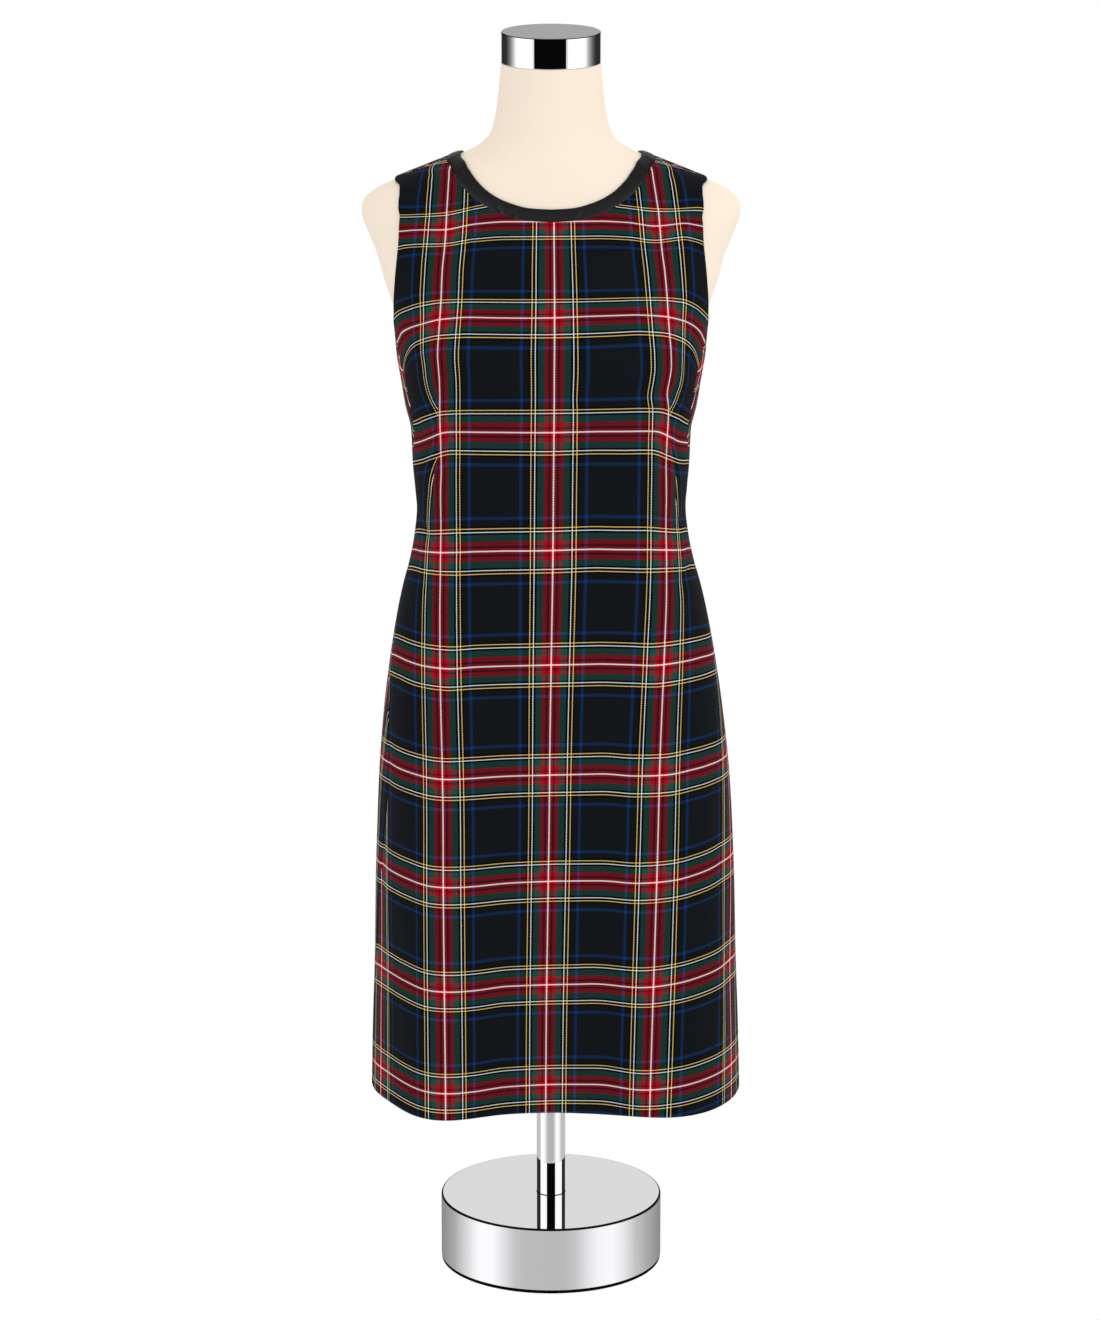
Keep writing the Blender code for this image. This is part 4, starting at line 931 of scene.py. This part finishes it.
# %% Neck binding
# share of the way up the band and offset from the cloth surface in millimetres, once round the folded strip
BAND_SECTION = [
    (0.00, 1.30), (0.00, 1.90), (0.05, 2.60), (0.14, 3.05), (0.30, 3.30), (0.50, 3.38), (0.70, 3.30),
    (0.86, 3.05), (0.95, 2.65), (1.00, 2.10), (1.00, 1.60), (0.96, 1.25), (0.80, 1.15), (0.55, 1.15),
    (0.30, 1.15), (0.10, 1.15),
]
# face, side, girth of the pucker where it meets the seam, slant across the band, half width mm, depth mm
PUCKERS = [
    (1, -1, 0.115, 0.030, 1.6, -1.50), (1, -1, 0.085, -0.012, 1.3, -1.20), (1, 1, 0.065, 0.020, 1.7, -1.35),
    (1, -1, 0.305, 0.020, 1.6, -1.35), (1, 1, 0.320, 0.016, 1.5, -1.50), (1, 1, 0.160, -0.016, 1.4, -0.90),
    (1, -1, 0.210, 0.018, 1.5, -0.90), (1, 1, 0.420, 0.014, 1.5, -1.05), (1, -1, 0.430, 0.016, 1.5, -1.05),
    (-1, 1, 0.200, 0.020, 1.5, -1.20), (-1, -1, 0.120, 0.020, 1.5, -1.05), (-1, 1, 0.360, 0.016, 1.6, -1.2),
    (-1, -1, 0.330, 0.018, 1.6, -1.20),
]
BAND_STEPS = 280
BAND_RISE = 4.8 * MM  # of the fold over the neckline at the shoulder seam


def band_mesh(name, face):
    """Both halves of a binding as one closed strip from shoulder seam to shoulder seam."""
    seam, top = (
        even_path(np.concatenate([girth_across(rows[face], face), [(0.5, NECK_POINT + rise)]]), BAND_STEPS)
        for rows, rise in ((NECKLINE, 0.0), (BAND_EDGE, BAND_RISE))
    )
    seam[-1, 0] -= face * SEAM_HALF_GAP / GIRTH_METRES
    top[-1, 0] -= face * SEAM_HALF_GAP / GIRTH_METRES
    mirror = np.array([-1.0, 1.0])
    lengths = np.linalg.norm(cloth_point(*top.T) - cloth_point(*seam.T), axis=1)
    rings = []
    for share, off in BAND_SECTION:
        low = 0.05 * MM / lengths
        place = seam + (top - seam) * (low + (1 - low) * share)[:, None]
        for side in (1, -1):
            offset = np.full(len(place), off * MM)
            from_middle = seam[:, 0] if face > 0 else 1 - seam[:, 0]
            for pucker_face, pucker_side, girth, slant, width, deep in PUCKERS:
                if (pucker_face, pucker_side) == (face, side) and off > 1.7:
                    away = (from_middle - girth - slant * share) * 0.3 / (width * MM)
                    offset += deep * MM * np.exp(-away * away) * (1 - 0.6 * share)
            rings.append((side, set_off(*(place * (mirror if side < 0 else 1)).T, offset)))
    right = np.array([spots for side, spots in rings if side > 0])
    left = np.array([spots for side, spots in rings if side < 0])
    loops = np.concatenate([left[:, :0:-1], right], axis=1)
    count, length = loops.shape[:2]
    mesh = bmesh.new()
    verts = [[mesh.verts.new(loops[ring, step]) for ring in range(count)] for step in range(length)]
    for here, there in zip(verts, verts[1:]):
        for ring in range(count):
            mesh.faces.new((here[ring], here[(ring + 1) % count], there[(ring + 1) % count], there[ring]))
    mesh.faces.new(verts[0])
    mesh.faces.new(verts[-1])
    bmesh.ops.recalc_face_normals(mesh, faces=mesh.faces)
    return place_mesh(name, mesh, satin, sharp=50)


for name, face, node, flat in (
    ("binding_front", 1, "neck_band_front", (0.290, 0.015)),
    ("binding_back", -1, "neck_band_back", (0.240, 0.015)),
):
    binding = band_mesh(name, face)
    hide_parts(node)
    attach(binding, "root")
    print(name, "area", round(sheet_area(binding) * 1e4, 1), "cm2")

# %% [markdown]
# ## The form
# The torso is a moulded shell, padded and pulled into a tube of cream cotton jersey without a wrinkle. Its
# rings are lofted close together, and a fine rib of the knit and a faint mottle keep it from looking like
# plastic.

# %% Jersey
CREAM = "#f8e9d7"
jersey, tree, skin = new_material("cream_cotton_jersey_knit", CREAM, 0.85, Specular_IOR_Level=0.1)
add_grain(tree, skin, 900.0, bump=(0.2, 0.15))
spot = add_node(tree, "ShaderNodeTexCoord")
mottle = add_node(
    tree, "ShaderNodeTexNoise", None, {"Vector": spot.outputs["Object"], "Scale": 14.0, "Detail": 2.0}
)
tone = add_node(
    tree, "ShaderNodeMapRange", None,
    {"Value": mottle.outputs[0], "From Min": 0.3, "From Max": 0.7, "To Min": 0.985, "To Max": 1.0},
)
cream = add_node(
    tree, "ShaderNodeHueSaturation", None,
    {"Color": (*linear(CREAM), 1.0), "Value": tone.outputs["Result"]},
)
tree.links.new(cream.outputs["Color"], skin.inputs["Base Color"])

# %% Form
FORM_BOTTOM, FORM_ROUND, NECK_TOP = 0.392, 0.012, 1.1975
FORM_STEPS = 144


def form_rings():
    """Rings of the form: a rounded lower edge, then rows that stand closer where the outline turns."""
    fine = np.linspace(FORM_BOTTOM + FORM_ROUND, NECK_TOP, 900)
    outline = column(FORM_RINGS, 1, fine)
    run = np.concatenate([[0.0], np.cumsum(np.hypot(np.diff(outline), np.diff(fine)))])
    heights = np.interp(np.linspace(0, run[-1], 190), run, fine)
    girth = 2.0 * np.arange(FORM_STEPS) / FORM_STEPS
    rings = [form_point(girth, np.full(FORM_STEPS, height)) for height in heights]
    edge = []
    for turn in np.radians([0.0, 18.0, 36.0, 54.0, 72.0]):
        flat = rings[0] * [1, 1, 0]
        inward = -flat / np.linalg.norm(flat, axis=1, keepdims=True)
        low = flat + inward * FORM_ROUND * (1 - math.sin(turn))
        edge.append(low + [0, 0, heights[0] - FORM_ROUND * math.cos(turn)])
    return edge + rings


mesh = bmesh.new()
levels = [[mesh.verts.new(spot) for spot in ring] for ring in form_rings()]
for below, above in zip(levels, levels[1:]):
    for step in range(FORM_STEPS):
        after = (step + 1) % FORM_STEPS
        mesh.faces.new((below[step], below[after], above[after], above[step]))
for cap in (levels[0], levels[-1]):
    mesh.faces.new(cap)
bmesh.ops.recalc_face_normals(mesh, faces=mesh.faces)
torso = place_mesh("torso", mesh, jersey, sharp=35)
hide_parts("form_body")
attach(torso, "root")
print("form rings:", len(levels))

# %% [markdown]
# ## The plated stand
# Cap, pole and base are turned steel, polished and chrome plated. A mirror finish is almost nothing but
# what it reflects, so the shapes are plain and round, with small turned edges that catch one bright line,
# and a black line painted on the top rims as a painted reflection. They are cylinders, bevelled at their
# rims, with many sides so that no facet shows.

# %% Chrome
chrome, tree, plate = new_material("polished_chrome_plate", "#eeeef0", 0.02, Metallic=1.0)
add_grain(tree, plate, 60.0, 3.0, rough=(0.006, 0.02), span=(0.4, 0.8))
# Black felt for the pole seat and the foot ring under the base; the dark line that the foot ring shows along
# the base's bottom edge is painted shade of the gap between base and floor.
felt_and_painted_gap_shade, tree, felt_and_gap_shade_shader = new_material("black_felt_and_painted_gap_shade", "#020202", 0.9, Specular_IOR_Level=0.05)
add_grain(tree, felt_and_gap_shade_shader, 1200.0, bump=(0.4, 0.2))

# The turned rims of the base and the cap get a fine black line: a painted reflection of the dark studio,
# drawn as a black finish on the small bevel faces.
painted_rim_reflection, tree, rim_reflection_shader = new_material("painted_dark_rim_reflection", "#020202", 0.35, Specular_IOR_Level=0.1)
add_grain(tree, rim_reflection_shader, 300.0, rough=(0.3, 0.4))

# %% Turned pieces of the stand


def select_rim(piece, heights, radius):
    """Select the round edges at some heights, as a click on each edge loop would."""
    bpy.ops.object.mode_set(mode="EDIT")
    bpy.ops.mesh.select_mode(type="EDGE")
    bpy.ops.mesh.select_all(action="DESELECT")
    mesh = bmesh.from_edit_mesh(piece.data)
    for edge in mesh.edges:
        ends = [vert.co for vert in edge.verts]
        level = any(all(abs(end.z - height) < 1e-5 for end in ends) for height in heights)
        out = all(abs(math.hypot(end.x, end.y) - radius) < 1e-5 for end in ends)
        edge.select = level and out
    mesh.select_flush_mode()
    bmesh.update_edit_mesh(piece.data)


def hold_long_faces(piece):
    """Mark the borders of the long faces sharp, so that no rim bends the mirror beside it."""
    bpy.ops.object.mode_set(mode="EDIT")
    mesh = bmesh.from_edit_mesh(piece.data)
    for edge in mesh.edges:
        sizes = [face.calc_area() for face in edge.link_faces]
        edge.select = max(sizes) > 6 * min(sizes)
    mesh.select_flush_mode()
    bmesh.update_edit_mesh(piece.data)
    bpy.ops.mesh.mark_sharp()
    bpy.ops.object.mode_set(mode="OBJECT")


def turned(name, radius, bottom, top, edges, sides, finish):
    """A cylinder with rounded rims, with its place in its mesh."""
    let_go()
    bpy.ops.mesh.primitive_cylinder_add(
        vertices=sides, radius=radius, depth=top - bottom, location=(0, 0, (top + bottom) / 2)
    )
    piece = bpy.context.object
    piece.name = piece.data.name = name
    bpy.ops.object.transform_apply(location=True, rotation=True, scale=True)
    for height, edge in edges:
        select_rim(piece, [height], radius)
        bpy.ops.mesh.bevel(offset=edge, segments=5, affect="EDGES")
        bpy.ops.object.mode_set(mode="OBJECT")
    bpy.ops.object.shade_smooth_by_angle(angle=math.radians(32))
    hold_long_faces(piece)
    piece.data.materials.append(finish)
    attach(piece, "root")
    let_go()
    return piece


BASE_RADIUS, BASE_HEIGHT, FOOT, RIM = 0.109, 0.067, 0.0034, 0.0018
CAP_RADIUS, CAP_TOP, CAP_RIM, POLE_RADIUS, APART = 0.0473, 1.2273, 0.0012, 0.0142, 0.0003
CAP_BOTTOM = NECK_TOP + APART
cap = turned(
    "cap_plate", CAP_RADIUS, CAP_BOTTOM, CAP_TOP, [(CAP_TOP, CAP_RIM), (CAP_BOTTOM, 0.0006)], 192, chrome
)
pole = turned("pole_tube", POLE_RADIUS, BASE_HEIGHT + APART, FORM_BOTTOM - APART, [], 96, chrome)
base = turned(
    "base_disc", BASE_RADIUS, FOOT, BASE_HEIGHT, [(BASE_HEIGHT, RIM), (FOOT, 0.0005)], 256, chrome
)
# Painted reflection: the small bevel faces just under the top rim of the base and of the cap are coloured
# black.
for piece, low, high in (
    (base, BASE_HEIGHT - RIM, BASE_HEIGHT - 0.01 * MM),
    (cap, CAP_TOP - CAP_RIM, CAP_TOP - CAP_RIM / 2),
):
    piece.data.materials.append(painted_rim_reflection)
    for face in piece.data.polygons:
        if low < face.center.z < high and face.area < 1e-5:
            face.material_index = 1
# Painted shade: the black foot ring shows as a dark line along the base's bottom edge, where the gap under
# the base is in shade.
foot = turned("base_foot_ring_painted_gap_shade", BASE_RADIUS - 0.0004, 0.0, FOOT, [(0.0, 0.0005)], 192, felt_and_painted_gap_shade)
SEAT_TOP = BASE_HEIGHT + 0.0006
collar = turned("pole_seat", POLE_RADIUS + 0.00025, BASE_HEIGHT, SEAT_TOP, [(SEAT_TOP, 0.0002)], 96, felt_and_painted_gap_shade)
for piece, nodes in ((cap, ["neck_cap"]), (pole, ["pole"]), (base, ["base"])):
    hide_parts(*nodes)
for piece in (dress_front, dress_back_left, dress_back_right, torso):
    piece.visible_glossy = False  # so that the mirror of the base shows the studio alone
print("stand:", [piece.name for piece in (cap, pole, base, foot, collar)])

# %% [markdown]
# ## The zip
# The zip is a bought part: woven polyester tape, and a slider and pull cast in zinc and enamelled black.
# Its solids already have the true shape, so they stay and only get their finishes.

# %% Zip finishes
tape, tree, tape_skin = new_material("woven_polyester_tape", "#131315", 0.85, Specular_IOR_Level=0.2)
spot = add_node(tree, "ShaderNodeTexCoord")
ribs = add_node(
    tree, "ShaderNodeTexWave", {"bands_direction": "Z"},
    {"Vector": spot.outputs["Object"], "Scale": 400.0, "Distortion": 0.5},
)
tape_bump = add_node(
    tree, "ShaderNodeBump", None, {"Height": ribs.outputs[1], "Strength": 0.5, "Distance": 0.2 * MM}
)
tree.links.new(tape_bump.outputs["Normal"], tape_skin.inputs["Normal"])
enamel, tree, paint = new_material("black_enamelled_zinc", "#0c0c0d", 0.3, Coat_Weight=0.3)
add_grain(tree, paint, 700.0, 3.0, rough=(0.22, 0.4))
for node, finish in (("zip_tape", tape), ("zip_slider", enamel), ("zip_pull", enamel)):
    for slot in NODES[node].material_slots:
        slot.material = finish
print("zip finished")

# %% [markdown]
# ## The studio
# A white sweep under even light gives the cloth its true colours without a hard shadow. Polished metal
# needs more: it shows a black card in front, white ones at the sides that fade into dark ones, and a graded
# backdrop behind, which only reflections see.

# %% Floor and light
world = bpy.data.worlds.new("studio")
bpy.context.scene.world = world
world.use_nodes = True
world.node_tree.nodes["Background"].inputs["Color"].default_value = (1.0, 1.0, 1.0, 1.0)
world.node_tree.nodes["Background"].inputs["Strength"].default_value = 0.85


def glow(name, strength):
    """A surface that only gives light."""
    made = bpy.data.materials.new(name)
    made.use_nodes = True
    tree = made.node_tree
    tree.nodes.clear()
    light = add_node(tree, "ShaderNodeEmission", None, {"Color": (1.0, 1.0, 1.0, 1.0), "Strength": strength})
    add_node(tree, "ShaderNodeOutputMaterial", None, {"Surface": light.outputs[0]})
    return made, tree, light


def only_reflected(thing):
    """Seen in polished metal and nowhere else."""
    thing.visible_camera = thing.visible_diffuse = thing.visible_shadow = False
    thing.visible_transmission = thing.visible_volume_scatter = False
    thing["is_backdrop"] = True


let_go()
bpy.ops.mesh.primitive_plane_add(size=120.0, location=(0, 0, -0.0006))
floor = bpy.context.object
floor.name = "floor"
floor.data.materials.append(glow("white_sweep", 1.0)[0])
floor.visible_diffuse = False
floor.visible_glossy = False
floor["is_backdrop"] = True


def soft_box(name, place, size, power):
    lamp = bpy.data.lights.new(name, "AREA")
    lamp.shape = "DISK"
    lamp.size = size
    lamp.energy = power
    lit = place_data(name, lamp)
    lit.location = place
    aim = np.array([0.0, 0.0, 0.75]) - np.array(place)
    lit.rotation_euler = (
        math.acos(-aim[2] / np.linalg.norm(aim)), 0.0, math.atan2(aim[1], aim[0]) - math.pi / 2
    )
    lit.visible_glossy = False


soft_box("key_light", (2.8, -1.9, 2.4), 2.0, 29.0)
soft_box("fill_light", (-2.5, -1.8, 1.8), 2.0, 11.0)
soft_box("rim_light", (0.6, 2.6, 2.8), 2.0, 14.0)


WALL, CEILING = 3.0, 2.6  # radius and height of the room that only reflections see
LOW_ROW = 1.02  # top of the low row of cards


def wall_strip(name, from_angle, to_angle, low, high, finish):
    """An upright card on a circle round the stand. Angles are from the front, towards +X."""
    angles = np.radians(np.linspace(from_angle, to_angle, 25))
    points = [(WALL * math.sin(a), -WALL * math.cos(a), z) for a in angles for z in (low, high)]
    faces = [(2 * n, 2 * n + 2, 2 * n + 3, 2 * n + 1) for n in range(len(angles) - 1)]
    data = bpy.data.meshes.new(name)
    data.from_pydata(points, [], faces)
    only_reflected(place_data(name, data, finish))


# from angle, to angle, from height, to height, and how bright: the low row is for the cap, the high row
# for the pole and its own image in the base
white, pale, dark, black = (
    glow(name, bright)[0]
    for name, bright in (
        ("white_card", 1.3), ("pale_card", 0.8), ("dark_card", 0.03), ("black_card", 0.002)
    )
)
CARDS = {
    "card_front_low": (-39, 35, 0.0, LOW_ROW, black), "card_front_middle": (-34, 34, LOW_ROW, 1.112, pale),
    "card_front_high": (-34, 34, 1.112, 1.36, black), "card_front_top": (-34, 34, 1.36, CEILING, pale),
    "card_left_low": (-88, -43, 0.0, LOW_ROW, white), "card_left_high": (-93, -34, LOW_ROW, CEILING, white),
    "card_right_low": (40, 86, 0.0, LOW_ROW, white), "card_right_high": (34, 97, LOW_ROW, CEILING, white),
    "card_back_left_low": (-160, -124, 0.0, LOW_ROW, dark),
    "card_back_left_high": (-160, -93, LOW_ROW, CEILING, dark),
    "card_back_right_low": (124, 160, 0.0, LOW_ROW, dark),
    "card_back_right_high": (97, 160, LOW_ROW, CEILING, dark),
}
for name, card in CARDS.items():
    wall_strip(name, *card)
# each white card of the low row fades to the dark one in narrow steps, so many degrees wide
FADE_STEP = 4.25
for side, start in ((-1, 88), (1, 86)):
    for step, bright in enumerate((0.98, 0.72, 0.52, 0.37, 0.26, 0.175, 0.115, 0.075, 0.05)):
        ends = sorted((side * (start + FADE_STEP * step), side * (start + FADE_STEP * (step + 1))))
        name = f"card_fade_{'left' if side < 0 else 'right'}_{step}"
        wall_strip(name, *ends, 0.0, LOW_ROW, glow(name, bright)[0])

backdrop, tree, light = glow("graded_backdrop", 1.0)
spot = add_node(tree, "ShaderNodeTexCoord")
axes = add_node(tree, "ShaderNodeSeparateXYZ", None, {0: spot.outputs["Object"]})
graded = add_node(
    tree, "ShaderNodeMapRange", None,
    {"Value": axes.outputs["Z"], "From Min": 1.36, "From Max": 1.6, "To Min": 0.80, "To Max": 0.415},
)
tree.links.new(graded.outputs["Result"], light.inputs["Strength"])
wall_strip("card_back", 160.0, 200.0, 0.0, CEILING, backdrop)

# %% What the plated stand sees of the floor
# A round post seen from the front sends each ray off at twice the angle of its own surface. So the floor
# cards fan out from a post in the same way, and a stripe on a card is an upright stripe in the mirror.


def fan(name, radius, near, far, height, stops):
    """A floor card round a post. Each stop is an angle away from the front and the grey seen there."""
    finish, tree, light = glow(name, 1.17)
    turn = add_node(tree, "ShaderNodeUVMap", {"uv_map": "turn"})
    place = add_node(tree, "ShaderNodeSeparateXYZ", None, {0: turn.outputs["UV"]})
    ramp = add_node(tree, "ShaderNodeValToRGB", None, {0: place.outputs["X"]})
    fill_ramp(ramp.color_ramp, [(0.5 + angle / 360, colour, 1.0) for angle, colour in stops])
    ramp.color_ramp.interpolation = "LINEAR"
    tree.links.new(ramp.outputs["Color"], light.inputs["Color"])
    own = np.linspace(-89.5, 89.5, 180)
    steps = np.linspace(near, far, 8)
    points, turns = [], []
    for angle in own:
        for step in steps:
            a, b = math.radians(angle), math.radians(2 * angle)
            points.append((radius * math.sin(a) + step * math.sin(b),
                           -radius * math.cos(a) - step * math.cos(b), height))
            turns.append(0.5 + 2 * angle / 360)
    rows = len(steps)
    faces = [
        (n * rows + m, (n + 1) * rows + m, (n + 1) * rows + m + 1, n * rows + m + 1)
        for n in range(len(own) - 1) for m in range(rows - 1)
    ]
    data = bpy.data.meshes.new(name)
    data.from_pydata(points, [], faces)
    layer = data.uv_layers.new(name="turn")
    for loop in data.loops:
        layer.data[loop.index].uv = (turns[loop.vertex_index], 0.5)
    only_reflected(place_data(name, data, finish))


SOFT_STRIPES = [
    (-180, "#808080"), (-150, "#8e8e8e"), (-122, "#a8a8a8"), (-99, "#dadada"), (-81, "#fbfbfb"),
    (-65, "#fcfcfc"), (-51, "#e2e2e2"), (-38, "#c3c3c3"), (-25, "#bababa"), (13, "#b9b9b9"),
    (26, "#c5c5c5"), (39, "#e3e3e3"), (52, "#f5f5f5"), (67, "#f9f9f9"), (82, "#e7e7e7"), (100, "#c3c3c3"),
    (122, "#a8a8a8"), (150, "#8e8e8e"), (180, "#808080"),
]
PALE_STRIPES = [
    (-180, "#c0c0c0"), (-100, "#bebebe"), (-86, "#fdfdfd"), (-60, "#fdfdfd"), (-42, "#e0e0e0"),
    (-26, "#b4b4b4"), (15, "#b2b2b2"), (27, "#c8c8c8"), (38, "#f2f2f2"), (48, "#fbfbfb"), (64, "#fbfbfb"),
    (80, "#d8d8d8"), (95, "#bcbcbc"), (180, "#bcbcbc"),
]
fan("floor_by_base", BASE_RADIUS, 0.0, 0.19, 0.3 * MM, SOFT_STRIPES)
fan("floor_beyond", POLE_RADIUS, 0.2, 2.97, 0.0, PALE_STRIPES)
let_go()
bpy.ops.mesh.primitive_circle_add(vertices=48, radius=2.99, fill_type="NGON", location=(0, 0, CEILING))
ceiling = bpy.context.object
ceiling.name = "ceiling_card"
ceiling.data.materials.append(glow("ceiling_glow", 0.35)[0])
only_reflected(ceiling)
let_go()

# %% Measure and finish
seen_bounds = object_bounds()
sizes = {
    "cad": [[float(value) for value in corner] for corner in cad_bounds],
    "visual": [[float(value) for value in corner] for corner in seen_bounds],
}
for name, box in sizes.items():
    print(name, "box, mm:", [[round(value / MM, 1) for value in corner] for corner in box])
